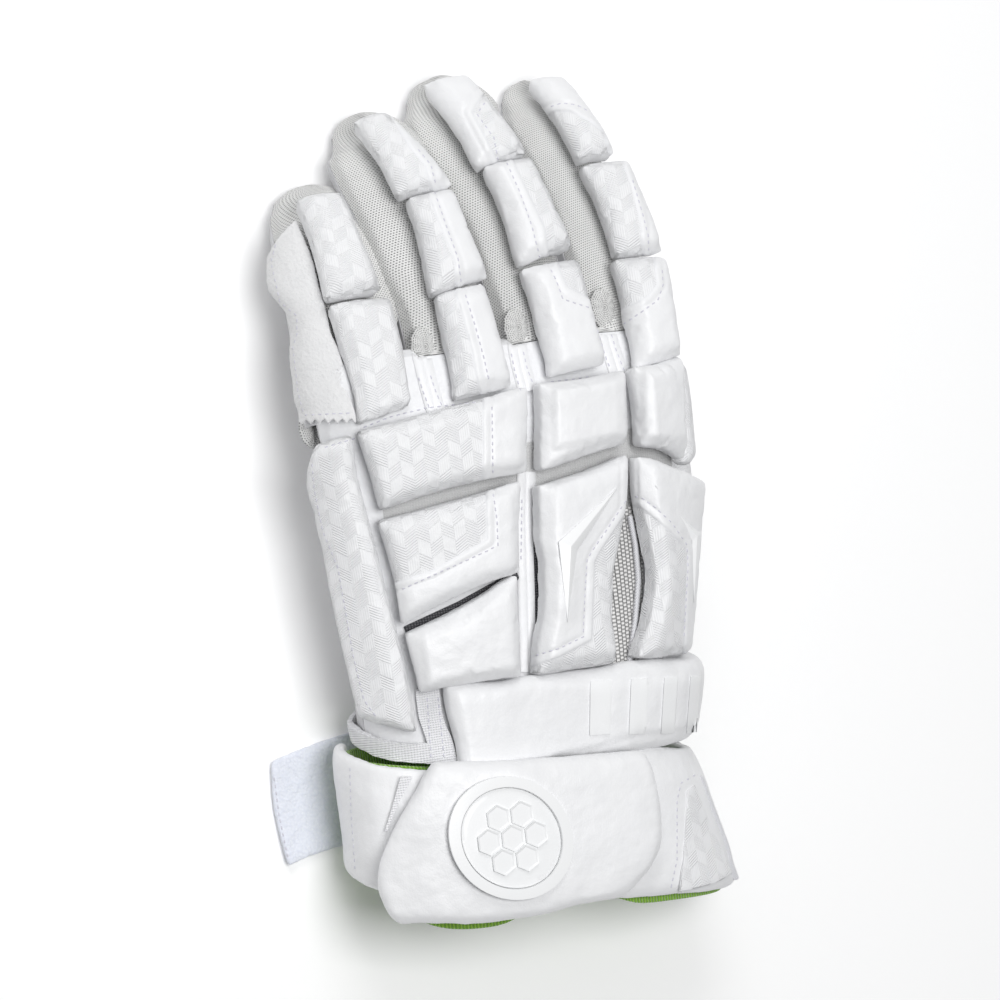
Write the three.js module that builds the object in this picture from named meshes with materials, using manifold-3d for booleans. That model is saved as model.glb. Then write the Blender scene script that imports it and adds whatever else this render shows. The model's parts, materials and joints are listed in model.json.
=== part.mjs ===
// Padded glove for the left hand, lying palm down on a flat surface with its fingers pointing along +Y.
// +Z is the back of the hand, +X the thumb's side. Lengths are millimetres and angles degrees.
// The fabric hand, its four fingers and its thumb are one hollow shell, cut along its seams into the
// leather palm, the fabric back and, for each finger, a fabric sleeve over a leather underside.
// Foam pads lie on that shell.
import * as THREE from "three";
import { mergeVertices } from "three/addons/utils/BufferGeometryUtils.js";
import Module from "manifold-3d";

const wasm = await Module();
wasm.setup();

// Driving sizes of the hand
const HAND_LENGTH = 146; // from the wrist's hem to the crotches of the fingers
const HAND_WIDTH = 142; // across the knuckles, outside the fabric
const KNUCKLE_HEIGHT = 61; // the fabric of the back over the knuckles, above the surface
const HAND_WALL = 2; // fabric of the back and leather of the palm
const ROUNDNESS = 2.6; // exponent of the sections: 2 is an ellipse, more is squarer
const WRIST_RAKE = 0.3; // how far the wrist's hem leans back for each millimetre of height

// Driving sizes of the fingers and the thumb
const FINGER_LENGTH = 129; // the middle finger, from its root inside the hand
const FINGER_WIDTH = 33;
const FINGER_DEPTH = 24;
const THUMB_LENGTH = 108;
const THUMB_WIDTH = 31;
const THUMB_DEPTH = 25;

// Driving sizes of the cuff
const CUFF_LENGTH = 52;
const CUFF_WIDTH = 150;
const CUFF_HEIGHT = 58;
const CUFF_WALL = 2; // the knitted lining
const CUFF_RAKE = 0.2;
const CUFF_SKEW = 0.13; // how far the cuff leans back for each millimetre toward the thumb's side
const HEM_DIP = 0.14; // how much longer the cuff is where its hem dips, a share of its length
const HEM_DIP_ANGLE = 38; // the angle of that dip from the crown, toward the little finger
const CUFF_SET = -4; // where the middle of the cuff's far edge lies from the wrist's hem

// Thicknesses of what lies on the fabric
const PAD_THICKNESS = 11;
const SIDE_PAD_THICKNESS = 8;
const THUMB_PAD_THICKNESS = 8;
const STRAP_THICKNESS = 9;
const RIB_THICKNESS = 0.9;
const WEBBING_THICKNESS = 1.6;
const PATCH_THICKNESS = 1.4;
const BINDING_THICKNESS = 2.2;
const VENT_THICKNESS = 1.5;
const SPIKE_THICKNESS = 3;
const FRONT_PAD_THICKNESS = 9.4;
const WING_THICKNESS = 6;
const INSET_THICKNESS = 1.2;
const MESH_THICKNESS = 1.2;
const PIPING_THICKNESS = 2;
const BADGE_DIAMETER = 46;
const BADGE_BAND = 4.2;
const BADGE_THICKNESS = 1.4;
const TAB_THICKNESS = 2.6;
const TAB_LENGTH = 55; // from the palm panel to its free end
const TAB_WIDTH = 41;
const TAB_RISE = 3; // how far the free end curls up
const PANEL_WIDTH = 62; // the flat panel under the cuff, which it rests on
const PANEL_INSET = 0.03; // how far its ends lie from the cuff's, a share of the cuff's length
const PATCH_EASE = 6; // how far the suede patch stands off the little finger at the knuckle
const PATCH_EASE_END = 0.3; // share of the finger where it lies close
const STRAP_EASE = 8; // how far the strap stands off the wrist on the thumb's side
const CHAMFER = 3.6; // how far in from its outline a pad reaches its full thickness
const GAP = 0.3; // clearance between any two pieces

// Sections of the hand, from the wrist to the crotches. middle and width are shares of HAND_WIDTH,
// top, seam and bottom shares of KNUCKLE_HEIGHT: the seam is where palm and back meet.
const HAND_SECTIONS = [
  { along: 0.0, middle: -0.022, width: 0.865, top: 0.92, seam: 0.49, bottom: 0.066 },
  { along: 0.29, middle: 0.004, width: 0.938, top: 0.985, seam: 0.56, bottom: 0.164 },
  { along: 0.63, middle: 0.022, width: 1.014, top: 1.015, seam: 0.66, bottom: 0.36 },
  { along: 0.97, middle: 0.0, width: 1.048, top: 1.0, seam: 0.77, bottom: 0.56 },
  { along: 1.02, middle: 0.0, width: 1.01, top: 0.955, seam: 0.77, bottom: 0.62 },
  { along: 1.04, middle: 0.0, width: 0.96, top: 0.87, seam: 0.77, bottom: 0.69 },
];

// Sections of the cuff, from the wrist to its open end, in shares of CUFF_WIDTH and CUFF_HEIGHT.
const CUFF_SECTIONS = [
  { along: 0.0, middle: -0.035, width: 0.9, top: 0.955, seam: 0.52, bottom: 0.055 },
  { along: 0.5, middle: -0.0125, width: 0.945, top: 0.955, seam: 0.5, bottom: 0.055 },
  { along: 1.0, middle: 0.02, width: 0.99, top: 0.93, seam: 0.48, bottom: 0.055 },
];

// Sections of a finger, from its root to its tip, in shares of its own width and depth.
const FINGER_SECTIONS = [
  { along: 0.0, width: 0.96, depth: 1.0 },
  { along: 0.35, width: 1.0, depth: 1.0 },
  { along: 0.7, width: 0.95, depth: 0.88 },
  { along: 0.88, width: 0.86, depth: 0.7 },
  { along: 0.96, width: 0.68, depth: 0.54 },
  { along: 1.0, width: 0.34, depth: 0.28 },
];

// How a finger curls down: 1 is the height of its root, 0 that of a tip lying on the surface.
const FINGER_CURL = [
  { along: 0.0, height: 1.0 },
  { along: 0.34, height: 0.9 },
  { along: 0.65, height: 0.62 },
  { along: 0.9, height: 0.17 },
  { along: 1.0, height: 0.0 },
];

// across is the place of the root as a share of HAND_WIDTH, root its height as a share of
// KNUCKLE_HEIGHT. length, width and depth are shares of the middle finger's. slant and hook carry
// the finger sideways, as shares of its length: slant evenly, hook mostly at the tip. flare is the
// share that its root is wider by.
const FINGERS = {
  pinky: {
    across: -0.395, root: 0.665, length: 0.735, width: 0.94, depth: 0.95,
    slant: 0.035, hook: 0.02, flare: 0.3,
  },
  ring: {
    across: -0.118, root: 0.785, length: 0.94, width: 0.97, depth: 1,
    slant: 0, hook: -0.06, flare: 0,
  },
  middle: {
    across: 0.168, root: 0.79, length: 1, width: 0.97, depth: 1,
    slant: -0.055, hook: -0.065, flare: 0,
  },
  index: {
    across: 0.41, root: 0.745, length: 0.97, width: 0.93, depth: 1,
    slant: 0.035, hook: -0.11, flare: 0,
  },
};
const FINGER_ROOT = 0.875; // where the fingers start inside the hand, a share of HAND_LENGTH
const TIP_START = 0.8; // share of a digit from which its hollow is shortened
const TIP_INSET = 1.6; // how far its tip moves back for each millimetre of inset

// The thumb's middle line. across is a share of HAND_WIDTH, forward of THUMB_LENGTH, counted from
// THUMB_ROOT, and height of KNUCKLE_HEIGHT.
const THUMB_LINE = [
  { along: 0.0, across: 0.35, forward: 0.0, height: 0.43 },
  { along: 0.3, across: 0.475, forward: 0.27, height: 0.32 },
  { along: 0.65, across: 0.515, forward: 0.64, height: 0.23 },
  { along: 1.0, across: 0.495, forward: 1.0, height: 0.18 },
];
const THUMB_ROOT = 0.27; // a share of HAND_LENGTH

// Smooth value of every column of a table between its rows
function blend(rows, along) {
  const last = rows.length - 1;
  let i = 0;
  while (i < last - 1 && along > rows[i + 1].along) i += 1;
  const before = rows[Math.max(0, i - 1)];
  const from = rows[i];
  const to = rows[i + 1];
  const after = rows[Math.min(last, i + 2)];
  const span = to.along - from.along;
  const t = (along - from.along) / span;
  const value = {};
  for (const key of Object.keys(from)) {
    const start = ((to[key] - before[key]) / (to.along - before.along)) * span;
    const end = ((after[key] - from[key]) / (after.along - from.along)) * span;
    value[key] =
      from[key] * (2 * t ** 3 - 3 * t ** 2 + 1) +
      start * (t ** 3 - 2 * t ** 2 + t) +
      to[key] * (3 * t ** 2 - 2 * t ** 3) +
      end * (t ** 3 - t ** 2);
  }
  return value;
}

// Point of a rounded section of half sizes 1, at an angle from its crown toward the thumb's side
function sectionPoint(around) {
  const angle = THREE.MathUtils.degToRad(around);
  const power = 2 / ROUNDNESS;
  const x = Math.sign(Math.sin(angle)) * Math.abs(Math.sin(angle)) ** power;
  const z = Math.sign(Math.cos(angle)) * Math.abs(Math.cos(angle)) ** power;
  return { x, z };
}

// A surface is a function of the angle around and of the place along it, lowered inward by inset.
function handSurface(around, along, inset = 0) {
  const section = blend(HAND_SECTIONS, along);
  const point = sectionPoint(around);
  const rise = point.z > 0 ? section.top - section.seam : section.seam - section.bottom;
  const x = HAND_WIDTH * section.middle + point.x * (0.5 * HAND_WIDTH * section.width - inset);
  const z = KNUCKLE_HEIGHT * section.seam + point.z * (KNUCKLE_HEIGHT * rise - inset);
  const lean = WRIST_RAKE * Math.max(0, 1 - along) ** 2 * (KNUCKLE_HEIGHT * section.top - z);
  return new THREE.Vector3(x, along * HAND_LENGTH + lean, z);
}

function cuffSurface(around, along, inset = 0) {
  const section = blend(CUFF_SECTIONS, along);
  const point = sectionPoint(around);
  const rise = point.z > 0 ? section.top - section.seam : section.seam - section.bottom;
  const x = CUFF_WIDTH * section.middle + point.x * (0.5 * CUFF_WIDTH * section.width - inset);
  const z = CUFF_HEIGHT * section.seam + point.z * (CUFF_HEIGHT * rise - inset);
  const lean = (CUFF_HEIGHT * section.seam - z) * CUFF_RAKE - x * CUFF_SKEW;
  const y = CUFF_SET - along * CUFF_LENGTH + lean;
  return new THREE.Vector3(x, y, z);
}

// A digit is a finger or the thumb: its middle line, and the surface around that line
function makeDigit(name, length, width, depth, flare, centre) {
  const step = 0.01;
  const frame = (along) => {
    const ahead = centre(along + step).sub(centre(along - step)).normalize();
    const side = new THREE.Vector3(ahead.y, -ahead.x, 0).normalize();
    const up = side.clone().cross(ahead).normalize();
    return { middle: centre(along), ahead, side, up };
  };
  const surface = (around, along, inset = 0) => {
    const section = blend(FINGER_SECTIONS, along);
    const point = sectionPoint(around);
    const tipShare = Math.max(0, along - TIP_START) / (1 - TIP_START);
    const { middle, side, up } = frame(along - (tipShare * TIP_INSET * inset) / length);
    const widening = 1 + flare * Math.max(0, 1 - along);
    const halfWidth = Math.max(0.5 * width * section.width * widening - inset, 1);
    const halfDepth = Math.max(0.5 * depth * section.depth - inset, 1);
    return middle.addScaledVector(side, point.x * halfWidth).addScaledVector(up, point.z * halfDepth);
  };
  return { name, length, width, depth, flare, frame, surface };
}

function lowestOf(digit) {
  let lowest = Infinity;
  for (let along = 0.5; along <= 1; along += 0.02) {
    lowest = Math.min(lowest, digit.surface(180, along).z);
  }
  return lowest;
}

function makeFinger([name, row]) {
  const length = FINGER_LENGTH * row.length;
  const width = FINGER_WIDTH * row.width;
  const depth = FINGER_DEPTH * row.depth;
  const tipHeight = 0.5 * depth * FINGER_SECTIONS[4].depth;
  const centreAt = (settle) => (along) => {
    const curl = blend(FINGER_CURL, along).height;
    const x = HAND_WIDTH * row.across + length * (row.slant * along + row.hook * along ** 3);
    const y = HAND_LENGTH * FINGER_ROOT + length * along;
    const z = tipHeight + curl * (KNUCKLE_HEIGHT * row.root - tipHeight) - settle * along ** 2;
    return new THREE.Vector3(x, y, z);
  };
  const loose = makeDigit(name, length, width, depth, row.flare, centreAt(0));
  return makeDigit(name, length, width, depth, row.flare, centreAt(lowestOf(loose)));
}

function makeThumb() {
  const centreAt = (settle) => (along) => {
    const row = blend(THUMB_LINE, along);
    return new THREE.Vector3(
      HAND_WIDTH * row.across,
      HAND_LENGTH * THUMB_ROOT + THUMB_LENGTH * row.forward,
      KNUCKLE_HEIGHT * row.height - settle * along ** 2,
    );
  };
  const loose = makeDigit("thumb", THUMB_LENGTH, THUMB_WIDTH, THUMB_DEPTH, 0, centreAt(0));
  return makeDigit("thumb", THUMB_LENGTH, THUMB_WIDTH, THUMB_DEPTH, 0, centreAt(lowestOf(loose)));
}

const fingers = Object.entries(FINGERS).map(makeFinger);
const thumb = makeThumb();
const digits = [...fingers, thumb];

// Closed mesh through rings of equal count, with both ends closed flat
function loft(rings) {
  const count = rings[0].length;
  const points = rings.flat();
  const faces = [];
  for (let i = 0; i + 1 < rings.length; i += 1) {
    for (let j = 0; j < count; j += 1) {
      const a = i * count + j;
      const b = i * count + ((j + 1) % count);
      faces.push([a, b, b + count], [a, b + count, a + count]);
    }
  }
  const lastRing = rings.length - 1;
  for (const [ring, first] of [[rings[0], 0], [rings[lastRing], lastRing * count]]) {
    const middle = new THREE.Vector3();
    for (const point of ring) middle.addScaledVector(point, 1 / count);
    points.push(middle);
    const hub = points.length - 1;
    for (let j = 0; j < count; j += 1) {
      const next = (j + 1) % count;
      faces.push(first === 0 ? [hub, first + next, first + j] : [hub, first + j, first + next]);
    }
  }
  return closedGeometry(points, faces);
}

// Geometry from points and triangles, turned so that its faces point out
function closedGeometry(points, faces) {
  let volume = 0;
  for (const [a, b, c] of faces) volume += points[a].dot(points[b].clone().cross(points[c]));
  const index = volume < 0 ? faces.flatMap(([a, b, c]) => [a, c, b]) : faces.flat();
  const geometry = new THREE.BufferGeometry();
  const places = points.flatMap((point) => point.toArray());
  geometry.setAttribute("position", new THREE.Float32BufferAttribute(places, 3));
  geometry.setIndex(index);
  return geometry;
}

function toSolid(geometry) {
  const merged = mergeVertices(geometry, 1e-4);
  return new wasm.Manifold(new wasm.Mesh({
    numProp: 3,
    vertProperties: new Float32Array(merged.attributes.position.array),
    triVerts: new Uint32Array(merged.index.array),
  }));
}

function toGeometry(solid) {
  const mesh = solid.getMesh();
  const geometry = new THREE.BufferGeometry();
  const places = Array.from(mesh.vertProperties);
  geometry.setAttribute("position", new THREE.Float32BufferAttribute(places, 3));
  geometry.setIndex(Array.from(mesh.triVerts));
  return geometry;
}

function unite(solids) {
  return solids.reduce((whole, solid) => whole.add(solid));
}

function spread(from, to, steps) {
  return Array.from({ length: steps + 1 }, (_, i) => from + ((to - from) * i) / steps);
}

function surfaceLoft(surface, stations, sides, inset) {
  const angles = spread(-180, 180, sides).slice(0, sides);
  return toSolid(loft(stations.map((along) => angles.map((around) => surface(around, along, inset)))));
}

// Outer forms of the hand and of a digit, grown by some clearance
function handForm(grown) {
  const end = grown / HAND_LENGTH;
  const stations = [-end, 0.2, 0.42, 0.63, 0.8, 0.97, 1.02 + end, 1.04 + end];
  return surfaceLoft(handSurface, stations, 24, -grown);
}

function digitForm(digit, grown) {
  return surfaceLoft(digit.surface, [0, 0.34, 0.65, 0.8, 0.9, 0.97, 1], 12, -grown);
}

// The hollow shell of the hand: all outer forms joined, less all inner ones
function makeShell() {
  const hollowStations = [-0.06, 0.28, 0.63, 0.97, 1.015];
  const hollowDigit = [-0.1, 0.17, 0.5, 0.78, 0.96];
  const outer = unite([handForm(0), ...digits.map((digit) => digitForm(digit, 0))]);
  const inner = unite([
    surfaceLoft(handSurface, hollowStations, 16, HAND_WALL),
    ...digits.map((digit) => surfaceLoft(digit.surface, hollowDigit, 8, HAND_WALL)),
  ]);
  return outer.subtract(inner);
}

// Everything below the hand's seam, raised by extra
function belowHand(extra) {
  const reach = HAND_WIDTH;
  return toSolid(loft([-0.2, 0, 0.29, 0.63, 0.97, 1.1].map((along) => {
    const seam = KNUCKLE_HEIGHT * blend(HAND_SECTIONS, Math.min(along, 0.97)).seam + extra;
    const y = HAND_LENGTH * along;
    const corners = [[-reach, -reach], [reach, -reach], [reach, seam], [-reach, seam]];
    return corners.map(([x, z]) => new THREE.Vector3(x, y, z));
  })));
}

// Half of the space around a digit, from one place along it on, between two heights over its
// middle line, and grown by some clearance at its root and its sides
function halfOf(digit, root, low, high, grown = 0) {
  const start = root - grown / digit.length;
  const stations = [start, 0.34, 0.5, 0.65, 0.78, 0.88, 0.96, 1.06].filter((along) => along >= start);
  return toSolid(loft(stations.map((along) => {
    const { middle, side, up } = digit.frame(along);
    const widening = 1 + digit.flare * Math.max(0, 1 - along);
    const half = 0.5 * digit.width * widening + 0.5 * HAND_WALL + grown;
    return [[-half, low], [half, low], [half, high], [-half, high]].map(([x, z]) =>
      middle.clone().addScaledVector(side, x).addScaledVector(up, z));
  })));
}

const SLEEVE_START = 0.165; // where a finger's sleeve leaves the hand, a share of the finger
const THUMB_SLEEVE_START = 0.3;

function makeShellPieces() {
  const shell = makeShell();
  const startOf = (digit) => (digit === thumb ? THUMB_SLEEVE_START : SLEEVE_START);
  const low = (digit) => -digit.depth;
  const high = (digit) => 0.5 * digit.depth + HAND_WALL;
  const allDigits = unite(digits.map((digit) =>
    halfOf(digit, startOf(digit), low(digit) - GAP, high(digit) + GAP, GAP)));
  const hand = shell.subtract(allDigits);
  const pieces = {
    palm: hand.intersect(belowHand(0)),
    hand_back: hand.subtract(belowHand(GAP)),
  };
  const allUndersides = unite(digits.map((digit) =>
    halfOf(digit, startOf(digit), low(digit) - GAP, GAP, GAP)));
  for (const digit of digits) {
    const start = startOf(digit);
    const upper = shell.intersect(halfOf(digit, start, 0, high(digit)));
    pieces[`${digit.name}_underside`] = shell.intersect(halfOf(digit, start, low(digit), 0));
    pieces[`${digit.name}_sleeve`] = upper.subtract(allUndersides);
  }
  return pieces;
}

// Point of a surface, moved out along its normal
function lifted(surface, around, along, lift) {
  const turn = 0.5;
  const move = 0.005;
  const across = surface(around + turn, along).sub(surface(around - turn, along));
  const onward = surface(around, along + move).sub(surface(around, along - move));
  const normal = across.cross(onward).normalize();
  const outward = surface(around, along).sub(surface(around, along, 1));
  return surface(around, along).addScaledVector(normal, normal.dot(outward) < 0 ? -lift : lift);
}

// Solid lying on a surface between two edges. Each row of its outline holds the place of its left
// and right end: leftAlong and left, rightAlong and right, the last of each in degrees around.
// Its rim has the share edge of the full thickness, which it reaches CHAMFER in from its outline.
function slab(surface, rows, thickness, options = {}) {
  const { across = 5, onward = 5, base = GAP, edge = 0.66 } = options;
  const table = rows.map((row, i) => ({ along: i / (rows.length - 1), ...row }));
  const point = (u, v, lift) => {
    const line = blend(table, v);
    const around = line.left + (line.right - line.left) * u;
    const along = line.leftAlong + (line.rightAlong - line.leftAlong) * u;
    return lifted(surface, around, along, lift);
  };
  const us = rimmed(point(0, 0.5, 0).distanceTo(point(1, 0.5, 0)), across, edge);
  const vs = rimmed(point(0.5, 0, 0).distanceTo(point(0.5, 1, 0)), onward, edge);
  const atRim = (u, v) => u === 0 || u === 1 || v === 0 || v === 1;
  const low = vs.map((v) => us.map((u) => point(u, v, base)));
  const high = vs.map((v) => us.map((u) => point(u, v, base + thickness * (atRim(u, v) ? edge : 1))));
  return gridSolid(low, high);
}

// Places of the lines across a pad of some size, the outer ones a chamfer in from its rim
function rimmed(size, steps, edge) {
  if (edge === 1) return spread(0, 1, steps);
  const rim = Math.min(0.3, CHAMFER / size);
  return [0, ...spread(rim, 1 - rim, steps - 2), 1];
}

// Closed solid between two grids of points with the same rows and columns
function gridSolid(low, high) {
  const tall = low.length;
  const wide = low[0].length;
  const points = [...low.flat(), ...high.flat()];
  const top = tall * wide;
  const faces = [];
  for (let i = 0; i + 1 < tall; i += 1) {
    for (let j = 0; j + 1 < wide; j += 1) {
      const a = i * wide + j;
      faces.push([a, a + wide + 1, a + 1], [a, a + wide, a + wide + 1]);
      const b = top + a;
      faces.push([b, b + 1, b + wide + 1], [b, b + wide + 1, b + wide]);
    }
  }
  const border = [];
  for (let j = 0; j + 1 < wide; j += 1) {
    border.push([j, j + 1], [top - 1 - j, top - 2 - j]);
  }
  for (let i = 0; i + 1 < tall; i += 1) {
    border.push([(i + 1) * wide - 1, (i + 2) * wide - 1], [top - (i + 1) * wide, top - (i + 2) * wide]);
  }
  for (const [a, b] of border) faces.push([a, b, top + b], [a, top + b, top + a]);
  return closedGeometry(points, faces);
}

// Round piece lying on a surface, through circles of growing radius: a ring, or a closed disc
function roundOn(surface, centre, radii, base, thickness, closed = false) {
  const sides = 20;
  const middle = lifted(surface, centre.around, centre.along, base);
  const near = lifted(surface, centre.around, centre.along - 0.05, base);
  const perAlong = near.distanceTo(middle) / 0.05;
  const aroundAt = (along, x) => {
    let low = -89;
    let high = 89;
    while (high - low > 0.01) {
      const half = 0.5 * (low + high);
      if (lifted(surface, half, along, base).x < x) low = half;
      else high = half;
    }
    return low;
  };
  const circle = (radius, lift) => spread(0, 360, sides).slice(0, sides).map((turn) => {
    const angle = THREE.MathUtils.degToRad(turn);
    const along = centre.along + (radius * Math.sin(angle)) / perAlong;
    return lifted(surface, aroundAt(along, middle.x + radius * Math.cos(angle)), along, lift);
  });
  const under = radii.map((radius) => circle(radius, base));
  const over = radii.map((radius) => circle(radius, base + thickness)).reverse();
  return closed ? loft([...under, ...over]) : ringSolid([...under, ...over]);
}

// Closed ring-shaped solid through loops of points that follow each other around its section
function ringSolid(loops) {
  const count = loops[0].length;
  const faces = [];
  loops.forEach((_, i) => {
    const next = (i + 1) % loops.length;
    for (let j = 0; j < count; j += 1) {
      const k = (j + 1) % count;
      faces.push([i * count + j, i * count + k, next * count + k]);
      faces.push([i * count + j, next * count + k, next * count + j]);
    }
  });
  return closedGeometry(loops.flat(), faces);
}

const quad = (leftAlong, left, rightAlong, right) => ({ leftAlong, left, rightAlong, right });

// Finish of each material: colour, roughness and metalness
const LEATHER = { color: 0xf1f3f7, roughness: 0.55, metalness: 0 };
const PALM_LEATHER = { color: 0xe4e5e8, roughness: 0.75, metalness: 0 };
const MESH = { color: 0xb9b9b7, roughness: 0.95, metalness: 0 };
const GREY_FABRIC = { color: 0xc9cac9, roughness: 0.9, metalness: 0 };
const SUEDE = { color: 0xf4f4f6, roughness: 0.98, metalness: 0 };
const ELASTIC = { color: 0xf3f3f5, roughness: 0.9, metalness: 0 };
const KNIT = { color: 0x6fae2c, roughness: 0.95, metalness: 0 };
const LOOP = { color: 0xdfe6f6, roughness: 1, metalness: 0 };
const RUBBER = { color: 0xf2f3f4, roughness: 0.35, metalness: 0 };
const SILVER = { color: 0xb4b3b0, roughness: 0.6, metalness: 0.2 };

const glove = new THREE.Group();

function place(name, geometry, finish) {
  const mesh = new THREE.Mesh(geometry, new THREE.MeshStandardMaterial(finish));
  mesh.name = name;
  glove.add(mesh);
}

// Shell
for (const [name, solid] of Object.entries(makeShellPieces())) {
  const ofSleeve = name.endsWith("sleeve") ? MESH : PALM_LEATHER;
  place(name, toGeometry(solid), name === "hand_back" ? GREY_FABRIC : ofSleeve);
}

// Pads of the fingers, each from its knuckle end to its tip end
const FINGER_PADS = {
  pinky_pad_base: [quad(-0.02, -18.5, 0.02, 27), quad(0.378, -26.4, 0.388, 26)],
  pinky_pad_tip: [quad(0.4, -28.2, 0.412, 22), quad(0.75, -27, 0.76, 18)],
  ring_pad_base: [quad(0.01, -26.9, 0.03, 27), quad(0.297, -25.8, 0.305, 22)],
  ring_pad_mid: [quad(0.311, -29.6, 0.32, 28.5), quad(0.572, -20, 0.578, 24)],
  ring_pad_tip: [quad(0.588, -28.5, 0.596, 24), quad(0.826, -30, 0.825, 3)],
  middle_pad_base: [quad(0.05, -26.6, 0.06, 29), quad(0.334, -26.7, 0.338, 30)],
  middle_pad_mid: [quad(0.349, -27.9, 0.355, 31), quad(0.611, -20.5, 0.61, 29)],
  middle_pad_tip: [quad(0.626, -28.9, 0.626, 23), quad(0.884, -25.8, 0.865, 18)],
  index_pad_base: [quad(0.035, -19.4, 0.06, 29), quad(0.331, -22.1, 0.336, 31)],
  index_pad_mid: [quad(0.347, -19, 0.352, 29), quad(0.606, -21.1, 0.606, 28)],
  index_pad_tip: [quad(0.623, -20.2, 0.623, 19), quad(0.893, -13, 0.88, 18)],
};
const grownHand = handForm(GAP);
for (const [name, rows] of Object.entries(FINGER_PADS)) {
  const finger = fingers.find((one) => name.startsWith(one.name));
  const geometry = slab(finger.surface, rows, PAD_THICKNESS);
  const onHand = name.endsWith("base");
  place(name, onHand ? toGeometry(toSolid(geometry).subtract(grownHand)) : geometry, LEATHER);
}

// Pads of the thumb
const THUMB_PADS = {
  thumb_pad_base: [quad(0.36, 20, 0.36, 100), quad(0.6, 22, 0.6, 98)],
  thumb_pad_tip: [quad(0.62, 22, 0.62, 98), quad(0.86, 30, 0.86, 90)],
};
for (const [name, rows] of Object.entries(THUMB_PADS)) {
  place(name, slab(thumb.surface, rows, THUMB_PAD_THICKNESS), LEATHER);
}

// Pads of the back of the hand, each from its wrist end to its finger end
const BACK_PADS = {
  knuckle_pad_outer: [quad(0.652, -53.6, 0.694, -3.2), quad(0.842, -56.5, 0.892, -0.4)],
  knuckle_pad_middle: [quad(0.693, -1.1, 0.731, 24), quad(0.897, 1.2, 0.91, 28.4)],
  knuckle_pad_index: [quad(0.722, 27, 0.685, 58), quad(0.909, 30.1, 0.926, 61.5)],
  back_pad_upper: [
    quad(0.353, -50.7, 0.449, -7.5),
    quad(0.484, -51.6, 0.56, -6.9),
    quad(0.623, -55.3, 0.67, -5.3),
  ],
  back_pad_lower: [quad(0.187, -45.7, 0.199, -9), quad(0.34, -49.7, 0.436, -8.7)],
  main_pad_left: [
    quad(0.199, -5.8, 0.199, 16),
    quad(0.422, -4.4, 0.39, 16.9),
    quad(0.57, -3.1, 0.566, 21.6),
    quad(0.649, -2.2, 0.688, 22.9),
  ],
  main_pad_right: [
    quad(0.199, 22.5, 0.18, 66),
    quad(0.38, 26.1, 0.35, 67),
    quad(0.565, 23, 0.53, 70),
    quad(0.687, 24.6, 0.615, 72),
  ],
};
const grownIndex = digitForm(fingers[fingers.length - 1], GAP);
for (const [name, rows] of Object.entries(BACK_PADS)) {
  const geometry = slab(handSurface, rows, PAD_THICKNESS);
  const onIndex = name === "knuckle_pad_index";
  place(name, onIndex ? toGeometry(toSolid(geometry).subtract(grownIndex)) : geometry, LEATHER);
}
const SIDE_PANEL = [quad(0.66, 63, 0.65, 84), quad(0.93, 65, 0.93, 84)];
const sidePanel = slab(handSurface, SIDE_PANEL, SIDE_PAD_THICKNESS);
place("knuckle_side_panel", toGeometry(toSolid(sidePanel).subtract(grownIndex)), LEATHER);

const SIDE_PAD = [
  quad(0.1, -82, 0.068, -48.8),
  quad(0.187, -86, 0.169, -48),
  quad(0.323, -89, 0.262, -49.6),
  quad(0.49, -92, 0.388, -54),
  quad(0.61, -95, 0.548, -56.3),
  quad(0.718, -98, 0.672, -59.2),
  quad(0.78, -96, 0.76, -60.5),
  quad(0.84, -84, 0.85, -60),
];
const sideSteps = { across: 5, onward: 8, base: 2 * GAP };
place("side_pad", slab(handSurface, SIDE_PAD, SIDE_PAD_THICKNESS, sideSteps), LEATHER);

// Knitted vent between the two main pads, and the moulded spikes on them
const VENT = [
  quad(0.2, 16.8, 0.2, 21.7),
  quad(0.39, 17.7, 0.39, 25.2),
  quad(0.48, 20, 0.48, 24),
  quad(0.545, 21.8, 0.545, 22.4),
];
place("vent_mesh", slab(handSurface, VENT, VENT_THICKNESS, { across: 2, onward: 4, edge: 1 }), SILVER);

const SPIKE_LEFT = [
  quad(0.312, 0.6, 0.311, 1.3),
  quad(0.412, 0.4, 0.405, 2.5),
  quad(0.507, 0.3, 0.487, 2.7),
  quad(0.566, 6.8, 0.545, 9.4),
  quad(0.621, 15.7, 0.614, 17.6),
];
const SPIKE_RIGHT = [
  quad(0.303, 52.5, 0.3, 53.3),
  quad(0.388, 53.4, 0.388, 56.4),
  quad(0.472, 54.2, 0.476, 58.4),
  quad(0.55, 45, 0.561, 48.3),
  quad(0.61, 31.6, 0.617, 33.5),
];
const onPad = { across: 1, onward: 5, base: PAD_THICKNESS + 2 * GAP, edge: 1 };
place("spike_left", slab(handSurface, SPIKE_LEFT, SPIKE_THICKNESS, onPad), RUBBER);
place("spike_right", slab(handSurface, SPIKE_RIGHT, SPIKE_THICKNESS, onPad), RUBBER);

// Suede patch on the outside of the little finger, with a notch below the tip
const SUEDE_PATCH = [
  quad(0.03, -98, -0.02, -21.5),
  quad(0.19, -100, 0.19, -25.5),
  quad(0.39, -100, 0.39, -31.5),
  quad(0.47, -90, 0.48, -32),
  quad(0.6, -102, 0.6, -32),
  quad(0.7, -92, 0.735, -31),
];
const pinky = fingers[0];
function patchSurface(around, along, inset = 0) {
  return pinky.surface(around, along, inset - PATCH_EASE * Math.max(0, 1 - along / PATCH_EASE_END));
}
const patchSteps = { across: 5, onward: 7, edge: 1 };
const patch = toSolid(slab(patchSurface, SUEDE_PATCH, PATCH_THICKNESS, patchSteps));
place("suede_patch", toGeometry(patch.subtract(grownHand)), SUEDE);

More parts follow.
